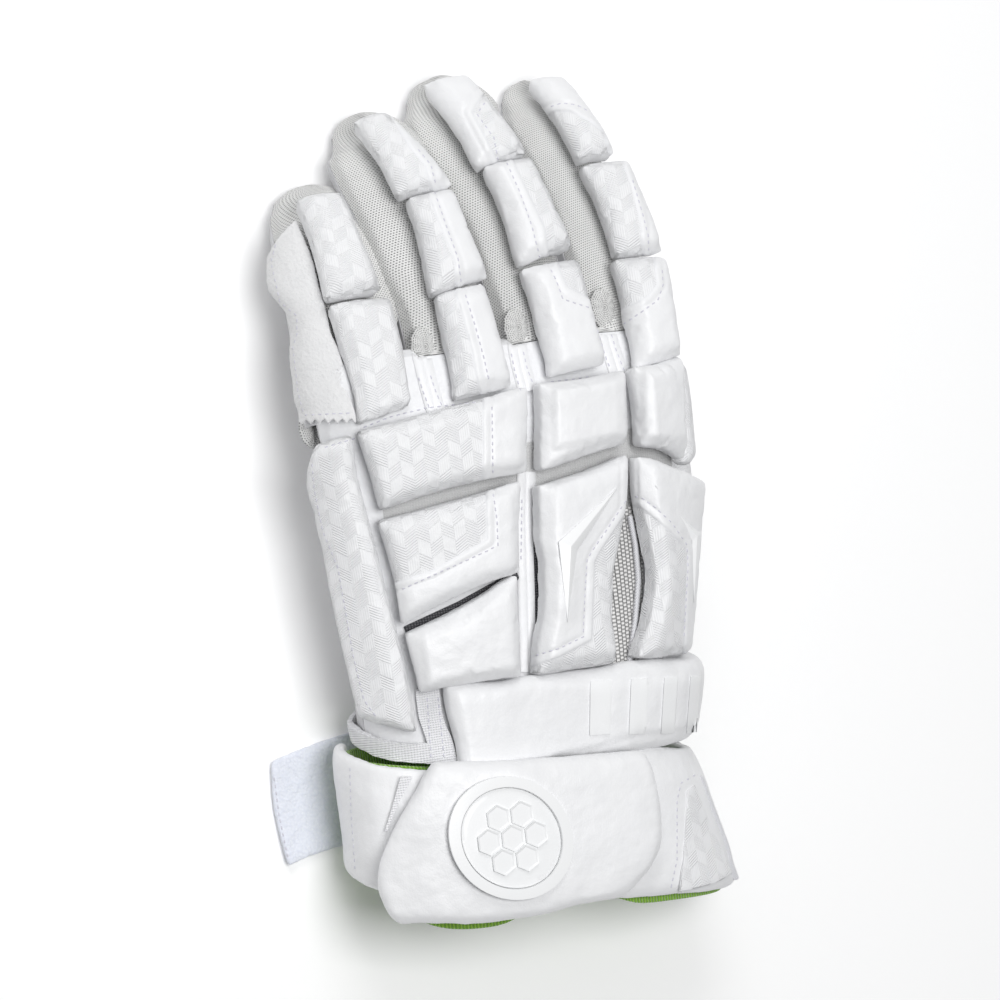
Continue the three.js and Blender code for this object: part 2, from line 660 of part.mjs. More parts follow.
// Binding of the wrist's hem, and the webbing that holds the strap
const HEM = [quad(0.002, -130, 0.002, -49), quad(0.045, -130, 0.045, -49)];
const hemSteps = { across: 8, onward: 1, edge: 1 };
place("hem_binding", slab(handSurface, HEM, BINDING_THICKNESS, hemSteps), ELASTIC);
const WEBBING = [quad(-0.012, -46.2, -0.012, -35.4), quad(0.165, -45.6, 0.165, -35.6)];
const webbingSteps = { across: 2, onward: 3, edge: 1 };
place("strap_webbing", slab(handSurface, WEBBING, WEBBING_THICKNESS, webbingSteps), ELASTIC);

// Strap over the wrist
function strapSurface(around, along, inset = 0) {
  const ease = STRAP_EASE * Math.max(0, Math.sin(THREE.MathUtils.degToRad(around))) ** 2;
  return handSurface(around, along, inset - ease);
}
const STRAP = [quad(-0.014, -34, -0.085, 104), quad(0.186, -34, 0.135, 104)];
place("wrist_strap", slab(strapSurface, STRAP, STRAP_THICKNESS, { across: 13, onward: 5 }), LEATHER);
const STRAP_RIBS = [
  [quad(0.012, 8, 0.006, 15), quad(0.148, 8, 0.143, 15)],
  [quad(-0.004, 23, -0.01, 30), quad(0.136, 23, 0.131, 30)],
  [quad(-0.02, 38, -0.026, 45), quad(0.124, 38, 0.119, 45)],
  [quad(-0.036, 53, -0.042, 60), quad(0.112, 53, 0.107, 60)],
];
const onStrap = { across: 1, onward: 1, base: STRAP_THICKNESS + 2 * GAP, edge: 1 };
STRAP_RIBS.forEach((rib, i) => {
  place(`strap_rib_${i + 1}`, slab(strapSurface, rib, RIB_THICKNESS, onStrap), RUBBER);
});

// Cuff: a knitted lining open at both ends, with padded wings around it
function makeLining() {
  const sides = 32;
  const stations = [0, 0.33, 0.67, 1];
  const angles = spread(-180, 180, sides).slice(0, sides);
  const dip = (around) => {
    const toDip = Math.cos(THREE.MathUtils.degToRad(around + HEM_DIP_ANGLE));
    return HEM_DIP * Math.max(0, toDip) ** 4;
  };
  const loops = (inset) => stations.map((along) =>
    angles.map((around) => cuffSurface(around, along * (1 + along * dip(around)), inset)));
  return ringSolid([...loops(0), ...loops(CUFF_WALL).reverse()]);
}
place("cuff_lining", makeLining(), KNIT);

const WING_LEFT = [
  quad(-0.06, -118, 0.02, -14),
  quad(0.43, -120, 0.5, -14),
  quad(0.84, -116, 0.97, -14),
];
const WING_RIGHT = [
  quad(0.0, -13, 0.12, 116),
  quad(0.5, -13, 0.55, 118),
  quad(0.985, -13, 0.985, 116),
];
const onLining = 2 * GAP;
const leftSteps = { across: 15, onward: 3, base: onLining };
const rightSteps = { across: 18, onward: 3, base: onLining };
place("cuff_wing_left", slab(cuffSurface, WING_LEFT, WING_THICKNESS, leftSteps), LEATHER);
place("cuff_wing_right", slab(cuffSurface, WING_RIGHT, WING_THICKNESS, rightSteps), LEATHER);

const onWing = onLining + WING_THICKNESS + 2 * GAP;
const FRONT_PAD = [
  quad(-0.04, -36.6, -0.04, 21.6),
  quad(0.076, -43.5, 0.12, 21.6),
  quad(0.25, -51.9, 0.3, 20.9),
  quad(0.459, -59.1, 0.523, 18.2),
  quad(0.687, -63.2, 0.7, 14.3),
  quad(0.9, -63.7, 0.84, 9.5),
  quad(1.09, -56, 0.95, 3.1),
];
const frontSteps = { across: 6, onward: 6, base: onWing };
place("cuff_front_pad", slab(cuffSurface, FRONT_PAD, FRONT_PAD_THICKNESS, frontSteps), LEATHER);

const badge = { around: -16.6, along: 0.483 };
const onFront = onWing + FRONT_PAD_THICKNESS + GAP;
const badgeRadius = BADGE_DIAMETER / 2;
const discRadius = badgeRadius - BADGE_BAND - GAP;
const ringRadii = [badgeRadius - BADGE_BAND, badgeRadius];
const discRadii = [0.5 * discRadius, discRadius];
place("badge_ring", roundOn(cuffSurface, badge, ringRadii, onFront, BADGE_THICKNESS), RUBBER);
place("badge_disc", roundOn(cuffSurface, badge, discRadii, onFront, 0.5 * BADGE_THICKNESS, true), RUBBER);

const INSET = [quad(0.24, 47, 0.215, 54), quad(0.95, 26, 0.88, 58)];
const insetSteps = { across: 3, onward: 2, base: onWing, edge: 1 };
place("cuff_inset", slab(cuffSurface, INSET, INSET_THICKNESS, insetSteps), LEATHER);
const PIPING = [quad(0.19, 63, 0.19, 65.5), quad(0.97, 66, 0.97, 68.5)];
const pipingSteps = { across: 1, onward: 4, base: onWing, edge: 1 };
place("cuff_piping", slab(cuffSurface, PIPING, PIPING_THICKNESS, pipingSteps), RUBBER);
const MESH_CORNER = [
  quad(0.06, -50.5, 0.06, -45),
  quad(0.25, -55.5, 0.25, -53.4),
  quad(0.45, -61.4, 0.45, -60.2),
];
const cornerSteps = { across: 2, onward: 3, base: onWing, edge: 1 };
place("wing_mesh", slab(cuffSurface, MESH_CORNER, MESH_THICKNESS, cornerSteps), ELASTIC);

// Flat panel under the cuff: it rests on the surface and follows the lining above it
const panelMiddle = cuffSurface(180, 0.5).x;
function makePanel() {
  const columns = spread(panelMiddle - 0.5 * PANEL_WIDTH, panelMiddle + 0.5 * PANEL_WIDTH, 6);
  const rows = spread(PANEL_INSET, 1 - PANEL_INSET, 3);
  const high = rows.map((along) => columns.map((x) => {
    const section = blend(CUFF_SECTIONS, along);
    const share = (x - CUFF_WIDTH * section.middle) / (0.5 * CUFF_WIDTH * section.width);
    const turn = THREE.MathUtils.radToDeg(Math.asin(Math.abs(share) ** (ROUNDNESS / 2)));
    const under = cuffSurface(180 - Math.sign(share) * turn, along);
    return new THREE.Vector3(x, under.y, under.z - GAP);
  }));
  const low = high.map((row) => row.map((point) => new THREE.Vector3(point.x, point.y, 0)));
  return gridSolid(low, high);
}
place("cuff_palm_panel", makePanel(), PALM_LEATHER);

// Closure tab, lying out from under the cuff on the little finger's side. out is the share of its
// length, forward the place of its middle as a share of CUFF_LENGTH, rise the share of TAB_RISE.
const TAB_LINE = [
  { along: 0.0, out: 0.0, forward: -0.1, rise: 0.0 },
  { along: 0.5, out: 0.5, forward: -0.15, rise: 0.02 },
  { along: 0.75, out: 0.78, forward: -0.19, rise: 0.3 },
  { along: 1.0, out: 1.0, forward: -0.24, rise: 1.0 },
];
function makeTab() {
  const start = panelMiddle - 0.5 * PANEL_WIDTH - GAP;
  const grid = (lift) => spread(0, 1, 6).map((along) => {
    const row = blend(TAB_LINE, along);
    return spread(-0.5, 0.5, 4).map((across) => new THREE.Vector3(
      start - TAB_LENGTH * row.out,
      CUFF_LENGTH * row.forward + TAB_WIDTH * across,
      TAB_RISE * Math.max(0, row.rise) + lift,
    ));
  });
  return gridSolid(grid(0), grid(TAB_THICKNESS));
}
place("closure_tab", makeTab(), LOOP);

// The origin is at the middle of the glove's footprint, on the surface it lies on
const bounds = new THREE.Box3().setFromObject(glove);
const middle = bounds.getCenter(new THREE.Vector3());
glove.position.set(-middle.x, -middle.y, -bounds.min.z);
glove.updateMatrixWorld(true);

export default glove;
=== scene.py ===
"""A white lacrosse glove for the left hand, lying palm down with its fingers pointing up the picture."""

import json
import math

import bpy
import numpy as np
from mathutils import Matrix, Vector
from mathutils.bvhtree import BVHTree

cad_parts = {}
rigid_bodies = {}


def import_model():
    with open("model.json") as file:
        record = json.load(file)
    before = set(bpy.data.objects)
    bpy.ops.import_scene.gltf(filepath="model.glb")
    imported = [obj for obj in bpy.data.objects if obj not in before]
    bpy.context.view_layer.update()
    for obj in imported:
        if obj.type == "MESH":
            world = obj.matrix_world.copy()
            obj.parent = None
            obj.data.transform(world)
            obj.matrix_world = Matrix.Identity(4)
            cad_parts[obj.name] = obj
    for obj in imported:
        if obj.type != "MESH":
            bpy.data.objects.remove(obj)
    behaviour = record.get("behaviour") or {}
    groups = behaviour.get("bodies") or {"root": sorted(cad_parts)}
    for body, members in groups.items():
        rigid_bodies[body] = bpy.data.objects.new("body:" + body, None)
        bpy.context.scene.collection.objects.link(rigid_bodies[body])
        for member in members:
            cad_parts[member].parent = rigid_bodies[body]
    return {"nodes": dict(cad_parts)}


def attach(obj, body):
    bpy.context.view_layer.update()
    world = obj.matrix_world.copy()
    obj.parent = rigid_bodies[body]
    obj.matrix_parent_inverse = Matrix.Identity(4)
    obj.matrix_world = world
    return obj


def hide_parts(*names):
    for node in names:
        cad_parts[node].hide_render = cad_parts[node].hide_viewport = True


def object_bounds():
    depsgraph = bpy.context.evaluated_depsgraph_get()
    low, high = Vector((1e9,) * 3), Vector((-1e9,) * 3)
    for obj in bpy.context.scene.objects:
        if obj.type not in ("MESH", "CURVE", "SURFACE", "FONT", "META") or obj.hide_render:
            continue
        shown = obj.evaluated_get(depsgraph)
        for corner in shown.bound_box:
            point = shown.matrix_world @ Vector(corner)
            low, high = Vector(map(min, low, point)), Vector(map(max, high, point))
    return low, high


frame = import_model()
cad_low, cad_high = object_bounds()

# The photographer's place. The glove is looked at from above and 28 degrees towards the little
# finger's side, through a long lens, with the glove turned 8 degrees in the picture.
MM = 0.001
CENTRE_OF_PICTURE = Vector((-5.804, -3.455, 45.0)) * MM
LEAN = math.radians(28)
TURN = math.radians(8)
DISTANCE = 1.5
PHOTO_PIXELS = 1000
PIXEL = 0.375 * MM
FILM = 36.0

away = Vector((-math.sin(LEAN), 0, math.cos(LEAN)))
level = Vector((math.cos(LEAN), 0, math.sin(LEAN)))
lengthwise = Vector((0, 1, 0))
photo_right = math.cos(TURN) * level - math.sin(TURN) * lengthwise
photo_up = math.sin(TURN) * level + math.cos(TURN) * lengthwise
eye = CENTRE_OF_PICTURE + DISTANCE * away

camera = bpy.data.objects.new("camera", bpy.data.cameras.new("camera"))
bpy.context.scene.collection.objects.link(camera)
camera.data.sensor_width = FILM
camera.data.lens = FILM * DISTANCE / (PHOTO_PIXELS * PIXEL)
camera.matrix_world = Matrix((photo_right, photo_up, away)).transposed().to_4x4()
camera.matrix_world.translation = eye
bpy.context.scene.camera = camera


def photo_pixels(points):
    """Where points of the glove, an array in metres, fall in the photograph."""
    from_eye = points - np.array(eye)
    depth = -(from_eye @ np.array(away))
    right = from_eye @ np.array(photo_right) / depth * DISTANCE / PIXEL
    up = from_eye @ np.array(photo_up) / depth * DISTANCE / PIXEL
    return np.stack([0.5 * PHOTO_PIXELS + right, 0.5 * PHOTO_PIXELS - up], axis=1)


def sight_line(pixel):
    """The direction in which the photographer sees a pixel."""
    right = (pixel[0] - 0.5 * PHOTO_PIXELS) * PIXEL
    up = (0.5 * PHOTO_PIXELS - pixel[1]) * PIXEL
    return (photo_right * right + photo_up * up - away * DISTANCE).normalized()


# The table and the light of the studio. A white table top, one wide soft light beyond the
# fingers and one beside the lens, and white walls all round.
FLOOR_SIZE = 6.0
FLOOR_COLOUR = (0.97, 0.97, 0.97, 1)
FLOOR_SHADE = (0.95, 0.95, 0.95, 1)
ROOM_COLOUR = (0.975, 0.985, 1.0, 1)
ROOM_STRENGTH = 0.27
FLOOR_GLOW = 0.08
FLOOR_PATCHES = 0.4
SOFTBOXES = {
    "light_over_fingers": {"at": (-0.25, 1.15, 1.0), "size": 0.8, "power": 7.0},
    "light_beside_lens": {"at": (-0.22, 0.05, 1.6), "size": 0.7, "power": 15.6},
}


def operators(operation):
    """A Math node as a Python operator, and the same with its two sides swapped."""
    return (
        lambda value, other: value.maths(operation, value, other),
        lambda value, other: value.maths(operation, other, value),
    )


class Value:
    """A number that varies over a surface. Arithmetic on it adds the Math nodes."""

    def __init__(self, finish, socket):
        self.finish, self.socket = finish, socket

    def maths(self, operation, *items):
        return self.finish.node(
            "ShaderNodeMath", {"operation": operation}, dict(enumerate(items))
        )

    __add__, __radd__ = operators("ADD")
    __sub__, __rsub__ = operators("SUBTRACT")
    __mul__, __rmul__ = operators("MULTIPLY")
    __truediv__, __rtruediv__ = operators("DIVIDE")
    __pow__, __rpow__ = operators("POWER")
    __mod__, __rmod__ = operators("FLOORED_MODULO")

    def __lt__(self, other):
        return self.maths("LESS_THAN", self, other)

    def __gt__(self, other):
        return self.maths("GREATER_THAN", self, other)

    def wave(self, pitch):
        """A sine of the value, from -1 to 1, that comes back after each pitch."""
        return self.maths("SINE", self * (2 * math.pi / pitch))

    def ribs(self, pitch):
        """The same wave, from 0 to 1."""
        return self.wave(pitch) * 0.5 + 0.5

    def threads(self, pitch):
        """Rounded threads one pitch apart, 0 in the furrows between them and 1 on top."""
        return self.wave(2 * pitch).size()

    def floor(self):
        return self.maths("FLOOR", self)

    def size(self):
        """The value without its sign."""
        return self.maths("ABSOLUTE", self)

    def root(self):
        return self.maths("SQRT", self)

    def mixed(self, other, share):
        """This value with a share of another mixed in."""
        return self * (1 - share) + other * share

    def ramp(self, start, end):
        """0 before start, 1 after end, and smooth between them."""
        return self.finish.node(
            "ShaderNodeMapRange",
            {"interpolation_type": "SMOOTHSTEP"},
            {"Value": self, "From Min": start, "From Max": end},
        )


class Finish:
    """The surface of one kind of piece: a material with one Principled shader."""

    def __init__(self, name, roughness, **fixed):
        self.material = bpy.data.materials.new(name)
        self.material.use_nodes = True
        self.tree = self.material.node_tree
        self.shader = self.tree.nodes["Principled BSDF"]
        self.shader.inputs["Roughness"].default_value = roughness
        for socket, amount in fixed.items():
            self.shader.inputs[socket.replace("_", " ")].default_value = amount

    def feed(self, socket, item):
        if isinstance(item, Value):
            self.tree.links.new(item.socket, socket)
        else:
            socket.default_value = item

    def node(self, kind, settings=None, values=None, output=0):
        """Adds a node with its settings and the values of its sockets, and gives one output."""
        new = self.tree.nodes.new(kind)
        for name, setting in (settings or {}).items():
            setattr(new, name, setting)
        for socket, item in (values or {}).items():
            self.feed(new.inputs[socket], item)
        return Value(self, new.outputs[output])

    def place(self):
        """The point of the surface in metres."""
        return self.node("ShaderNodeTexCoord", output="Object")

    def attribute(self, name, output="Fac"):
        return self.node("ShaderNodeAttribute", {"attribute_name": name}, output=output)

    def split(self, vector, axis):
        return self.node("ShaderNodeSeparateXYZ", values={0: vector}, output=axis)

    def noise(self, where, size, detail=2.0):
        """Soft patches of about this size in metres, from 0 to 1."""
        return self.node(
            "ShaderNodeTexNoise",
            values={"Vector": where, "Scale": 1 / size, "Detail": detail},
        )

    def pebbles(self, where, size):
        """Small rounded cells of about this size, 0 in their middles."""
        return self.node(
            "ShaderNodeTexVoronoi", values={"Vector": where, "Scale": 1 / size}
        )

    def blend(self, share, colour_a, colour_b):
        """Colour a where share is 0, colour b where it is 1."""
        return self.node(
            "ShaderNodeMix",
            {"data_type": "RGBA"},
            {"Factor": share, 6: colour_a, 7: colour_b},
            output=2,
        )

    def colour(self, share, colour_a, colour_b):
        """Dyes the surface from colour a, where share is 0, to colour b, where it is 1."""
        dye = self.blend(share, colour_a, colour_b)
        self.feed(self.shader.inputs["Base Color"], dye)

    def roughness(self, item):
        self.feed(self.shader.inputs["Roughness"], item)

    def relief(self, height, depth):
        """Raises the surface by height, from 0 to 1, times depth in metres."""
        bump = self.tree.nodes.new("ShaderNodeBump")
        bump.inputs["Distance"].default_value = depth
        self.feed(bump.inputs["Height"], height)
        before = self.shader.inputs["Normal"].links
        if before:
            self.tree.links.new(before[0].from_socket, bump.inputs["Normal"])
        self.tree.links.new(bump.outputs["Normal"], self.shader.inputs["Normal"])


bpy.ops.object.select_all(action="DESELECT")
bpy.ops.mesh.primitive_plane_add(size=FLOOR_SIZE, location=(0, 0, cad_low.z))
floor = bpy.context.object
floor.name = "table_top"
bpy.ops.object.transform_apply(location=True, rotation=True, scale=True)
table = Finish("white_table_top", roughness=0.8, Emission_Strength=FLOOR_GLOW,
               Emission_Color=FLOOR_COLOUR)
table.colour(table.noise(table.place(), FLOOR_PATCHES), FLOOR_COLOUR, FLOOR_SHADE)
floor.data.materials.append(table.material)

world = bpy.data.worlds.new("white_room")
world.use_nodes = True
world.node_tree.nodes["Background"].inputs["Color"].default_value = ROOM_COLOUR
world.node_tree.nodes["Background"].inputs["Strength"].default_value = ROOM_STRENGTH
bpy.context.scene.world = world
bpy.context.scene.view_settings.view_transform = "Standard"
for name, box in SOFTBOXES.items():
    lamp = bpy.data.objects.new(name, bpy.data.lights.new(name, "AREA"))
    bpy.context.scene.collection.objects.link(lamp)
    lamp.data.size = box["size"]
    lamp.data.energy = box["power"]
    lamp.location = box["at"]
    towards = Vector(box["at"]) - CENTRE_OF_PICTURE
    lamp.rotation_euler = towards.to_track_quat("Z", "Y").to_euler()


# The fabric body. A real glove is sewn inside out from grey air mesh at the fingers and a woven
# back, on a thin leather palm, with the seams along the sides of the fingers.
SHARP_EDGE = math.radians(38)
FINGER_RADIUS = 15.0
MESH_WALE = 1.1
MESH_COURSE = 0.95
MESH_HOLE = 0.13
MESH_THREAD = 0.38
MESH_SQUASH = 1.5
MESH_MOTTLE = 0.15
MESH_GREY = (0.80, 0.80, 0.79, 1)
MESH_SHADE = (0.24, 0.24, 0.24, 1)
PALM_GRAIN = 0.4
PALM_WHITE = (0.70, 0.70, 0.71, 1)
PALM_SHADE = (0.60, 0.60, 0.62, 1)
RIPSTOP_PITCH = 1.1 * MM
RIPSTOP_LINE = 0.35
RIPSTOP_GREY = (0.60, 0.60, 0.60, 1)
RIPSTOP_THREAD = (0.70, 0.70, 0.70, 1)
RIPSTOP_FROM = -0.016
RIPSTOP_TO = 0.016
RIPSTOP_SIDE = -0.06
LEATHER_WHITE = (0.85, 0.852, 0.86, 1)
LEATHER_SHADE = (0.79, 0.795, 0.815, 1)
PULL_FADE = 0.12
DIGITS = ("pinky", "ring", "middle", "index", "thumb")
FINGERTIP_PULLS = {
    "pinky": [
        ((264, 195), (270, 214)), ((273, 181), (279, 200)), ((290, 176), (303, 185)),
        ((307, 181), (330, 183)), ((322, 191), (350, 197)), ((342, 222), (364, 221)),
        ((352, 248), (376, 247)), ((364, 275), (386, 275)), ((374, 300), (394, 300)),
    ],
    "ring": [
        ((325, 129), (333, 150)), ((336, 106), (341, 127)), ((350, 101), (362, 111)),
        ((368, 104), (390, 112)), ((380, 115), (408, 124)), ((395, 137), (420, 145)),
        ((352, 160), (341, 163)), ((358, 180), (344, 182)), ((368, 204), (354, 204)),
        ((378, 230), (366, 230)), ((388, 260), (378, 260)),
    ],
    "middle": [
        ((399, 96), (405, 106)), ((405, 82), (415, 89)), ((422, 74), (440, 73)),
        ((440, 79), (472, 79)), ((455, 90), (492, 95)), ((418, 130), (410, 128)),
        ((428, 155), (420, 155)), ((440, 180), (436, 180)),
    ],
    "index": [
        ((494, 97), (501, 104)), ((500, 83), (511, 88)), ((515, 135), (512, 135)),
        ((530, 170), (528, 170)),
    ],
}


def alone(piece):
    """Makes this the only piece that an operator acts on."""
    bpy.ops.object.select_all(action="DESELECT")
    piece.hide_viewport = False
    piece.select_set(True)
    bpy.context.view_layer.objects.active = piece


def copy_of(node, name):
    """A new piece with the shape of a CAD node, its loose triangles merged into a closed skin."""
    piece = bpy.data.objects.new(name, frame["nodes"][node].data.copy())
    bpy.context.scene.collection.objects.link(piece)
    piece.data.materials.clear()
    alone(piece)
    bpy.ops.mesh.customdata_custom_splitnormals_clear()
    bpy.ops.object.mode_set(mode="EDIT")
    bpy.ops.mesh.select_all(action="SELECT")
    bpy.ops.mesh.remove_doubles(threshold=0.01 * MM)
    bpy.ops.mesh.tris_convert_to_quads()
    bpy.ops.object.mode_set(mode="OBJECT")
    return piece


def apply(piece, kind, **settings):
    """Adds a modifier and applies it."""
    alone(piece)
    modifier = piece.modifiers.new(kind.title(), kind)
    for name, setting in settings.items():
        setattr(modifier, name, setting)
    bpy.ops.object.modifier_apply(modifier=modifier.name)


def subdivide(piece, levels):
    apply(piece, "SUBSURF", levels=levels, render_levels=levels)


def bevel(piece, width, angle):
    """Rounds every edge that turns by more than the angle."""
    apply(piece, "BEVEL", width=width, segments=2, limit_method="ANGLE",
          angle_limit=math.radians(angle))


def hold_edges(piece, sharpness, crease):
    """Keeps the edges that turn sharply when the piece is subdivided."""
    alone(piece)
    bpy.ops.object.mode_set(mode="EDIT")
    bpy.ops.mesh.select_mode(type="EDGE")
    bpy.ops.mesh.select_all(action="DESELECT")
    bpy.ops.mesh.edges_select_sharp(sharpness=sharpness)
    bpy.ops.transform.edge_crease(value=crease)
    bpy.ops.object.mode_set(mode="OBJECT")


def smooth_copy(node, ending, crease, sharpness=SHARP_EDGE, levels=2):
    """A copy of a CAD node, rounded by subdivision but for its sharp edges."""
    piece = copy_of(node, node + ending)
    hold_edges(piece, sharpness, crease)
    subdivide(piece, levels)
    return piece


def points_of(piece):
    flat = np.empty(len(piece.data.vertices) * 3, np.float32)
    piece.data.vertices.foreach_get("co", flat)
    return flat.reshape(-1, 3).astype(float)


def normals_of(piece):
    flat = np.empty(len(piece.data.vertices) * 3, np.float32)
    piece.data.vertices.foreach_get("normal", flat)
    return flat.reshape(-1, 3).astype(float)


def move_points(piece, points):
    piece.data.vertices.foreach_set("co", points.astype(np.float32).ravel())
    piece.data.update()


def keep_numbers(piece, name, numbers):
    """Stores one number at each point of the piece for its material."""
    attribute = piece.data.attributes.new(name, "FLOAT", "POINT")
    attribute.data.foreach_set("value", numbers.astype(np.float32))


def keep_vectors(piece, name, vectors):
    attribute = piece.data.attributes.new(name, "FLOAT_VECTOR", "POINT")
    attribute.data.foreach_set("vector", vectors.astype(np.float32).ravel())


def dress(piece, finish, angle=SHARP_EDGE):
    """The piece takes its finish, is shaded smooth, and belongs to the glove."""
    alone(piece)
    piece.data.materials.append(finish.material)
    bpy.ops.object.shade_smooth_by_angle(angle=angle)
    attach(piece, "root")


def sew_on(piece, node, finish, angle=SHARP_EDGE):
    """The piece is dressed and stands for its CAD node."""
    dress(piece, finish, angle)
    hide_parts(node)


def wrap_round(piece):
    """Coordinates in millimetres that run round a finger and along it, for its knit."""
    points = points_of(piece)
    middle = points.mean(axis=0)
    longest = np.linalg.svd((points - middle) / MM, full_matrices=False)[2][0]
    along = longest * np.sign(longest[1])
    side = np.cross(along, (0, 0, 1))
    side /= np.linalg.norm(side)
    up = np.cross(side, along)
    turn = np.arctan2((points - middle) @ side, (points - middle) @ up)
    onward = (points - middle) @ along / MM
    keep_vectors(piece, "knit", np.stack([turn * FINGER_RADIUS, onward, 0 * turn], axis=1))


air_mesh = Finish("air_mesh", roughness=0.85, Sheen_Weight=0.25)
knit = air_mesh.attribute("knit", "Vector")
course = air_mesh.split(knit, "Y") / MESH_COURSE
wale = air_mesh.split(knit, "X") / MESH_WALE + 0.5 * (course.floor() % 2)
from_hole = (((wale % 1) - 0.5) ** 2 + ((course % 1) - 0.5) ** 2 * MESH_SQUASH).root()
thread = from_hole.ramp(MESH_HOLE, MESH_THREAD)
mottle = air_mesh.noise(air_mesh.place(), size=12 * MM)
air_mesh.colour(thread.mixed(mottle, MESH_MOTTLE), MESH_SHADE, MESH_GREY)
air_mesh.relief(mottle, depth=1.2 * MM)
air_mesh.relief(thread, depth=0.35 * MM)

palm_leather = Finish("palm_leather", roughness=0.72)
grain = palm_leather.noise(palm_leather.place(), size=0.9 * MM, detail=4)
creases = palm_leather.noise(palm_leather.place(), size=11 * MM, detail=3)
palm_leather.colour(creases.mixed(grain, PALM_GRAIN), PALM_SHADE, PALM_WHITE)
palm_leather.relief(creases, depth=1.5 * MM)
palm_leather.relief(grain, depth=0.15 * MM)

hand_fabric = Finish("hand_back_fabric", roughness=0.7)
where = hand_fabric.place()
across, onward = hand_fabric.split(where, "X"), hand_fabric.split(where, "Y")
squares = across.threads(RIPSTOP_PITCH) * onward.threads(RIPSTOP_PITCH)
grid = 1 - squares.ramp(0.0, RIPSTOP_LINE)
creases = hand_fabric.noise(where, size=8 * MM, detail=3)
above, below = onward.ramp(RIPSTOP_FROM, RIPSTOP_FROM + MM), onward.ramp(RIPSTOP_TO, RIPSTOP_TO + MM)
woven = above * (1 - below) * (across > RIPSTOP_SIDE)
cloth_grey = hand_fabric.blend(grid, RIPSTOP_GREY, RIPSTOP_THREAD)
hide_white = hand_fabric.blend(creases, LEATHER_SHADE, LEATHER_WHITE)
hand_fabric.colour(woven, hide_white, cloth_grey)
hand_fabric.relief(creases, depth=1.6 * MM)
hand_fabric.relief(grid * woven, depth=0.12 * MM)


def slide(piece, shift):
    """Moves the points square to the view, by metres to the right and down the picture."""
    sideways = shift[:, :1] * np.array(photo_right) - shift[:, 1:] * np.array(photo_up)
    move_points(piece, points_of(piece) + sideways)


def pull(piece, pulls, reach=22.0):
    """Draws the piece from each first pixel to its second, square to the view."""
    pixels = photo_pixels(points_of(piece))
    shift, total = np.zeros((len(pixels), 2)), np.zeros(len(pixels))
    for start, end in pulls:
        share = np.exp(-((np.linalg.norm(pixels - start, axis=1) / reach) ** 2))
        shift += share[:, None] * (np.array(end, float) - start)
        total += share
    slide(piece, shift * PIXEL / (total + PULL_FADE)[:, None])


fabrics = {}
for digit in DIGITS:
    for part, finish, slot in (
        ("sleeve", air_mesh, "air_mesh"),
        ("underside", palm_leather, "palm_leather"),
    ):
        node = digit + "_" + part
        piece = smooth_copy(node, "_fabric", crease=0.8)
        wrap_round(piece)
        pull(piece, FINGERTIP_PULLS.get(digit, []))
        sew_on(piece, node, finish)
        fabrics[node] = piece
for node, finish, slot in (
    ("palm", palm_leather, "palm_leather"),
    ("hand_back", hand_fabric, "ripstop_fabric"),
):
    piece = smooth_copy(node, "_fabric", crease=0.8)
    sew_on(piece, node, finish)
    fabrics[node] = piece


# The finger and thumb pads. Each is a block of dense foam wrapped in thin white leather, sewn to
# the finger round its rim. On most of them two leathers meet at a raised, topstitched seam, and
# the leather on one side of it is embossed with fine hatching.
PAD_VOXEL = 1.1 * MM
SIMULATED_SCALE = 25
SWELL_STEPS = 20
SWELL_PRESSURE = 4.0
SWELL_QUALITY = 3
FOAM_EDGE = math.radians(32)
FOAM_CREASE = 0.9
HOLLOW_SIZE = 9 * MM
HOLLOW_DEPTH = 0.7 * MM
RAISED_LEATHER = 0.6
LAP_WIDTH = 0.9
LAP_SHIFT = 0.35
STITCH_GROOVE = 0.35
GROOVE_AT = 3.0
GROOVE_WIDTH = 0.8
WALL_FROM = 0.75
WALL_GAIN = 2.5
HATCH_PITCH = 0.87
HATCH_COLUMN = 4.7
HATCH_ROW = 5.2
HATCH_SLOPE = math.tan(math.radians(30))
HATCH_LEAN = math.cos(math.radians(30))
HATCH_UPRIGHT = 0.45
HATCH_CELLS = 5
HATCH_SLANTING = 2.5
HATCH_SHADE = 0.12
CREASE_SHADE = 0.5
SEAM_SHADE = 0.5
SEAM_SHADE_WIDTH = 0.7
FINGER_OUTLINES = {
    "pinky_pad_base": [(327, 309), (387, 297), (419, 400), (357, 424)],
    "pinky_pad_tip": [(296, 203), (342, 194), (381, 288), (325, 304)],
    "ring_pad_base": [(433, 300), (483, 284), (514, 386), (452, 402)],
    "ring_pad_mid": [(405, 198), (454, 187), (488, 275), (429, 300)],
    "ring_pad_tip": [(352, 126), (387, 113), (451, 184), (398, 203)],
    "middle_pad_base": [(519, 273), (578, 261), (606, 362), (546, 377)],
    "middle_pad_mid": [(481, 164), (532, 157), (572, 245), (516, 268)],
    "middle_pad_tip": [(424, 89), (468, 76), (526, 153), (476, 173)],
    "index_pad_base": [(610, 264), (668, 257), (680, 354), (632, 370)],
    "index_pad_mid": [(578, 171), (631, 159), (662, 251), (612, 259)],
    "index_pad_tip": [(529, 82), (570, 79), (614, 150), (576, 165)],
}
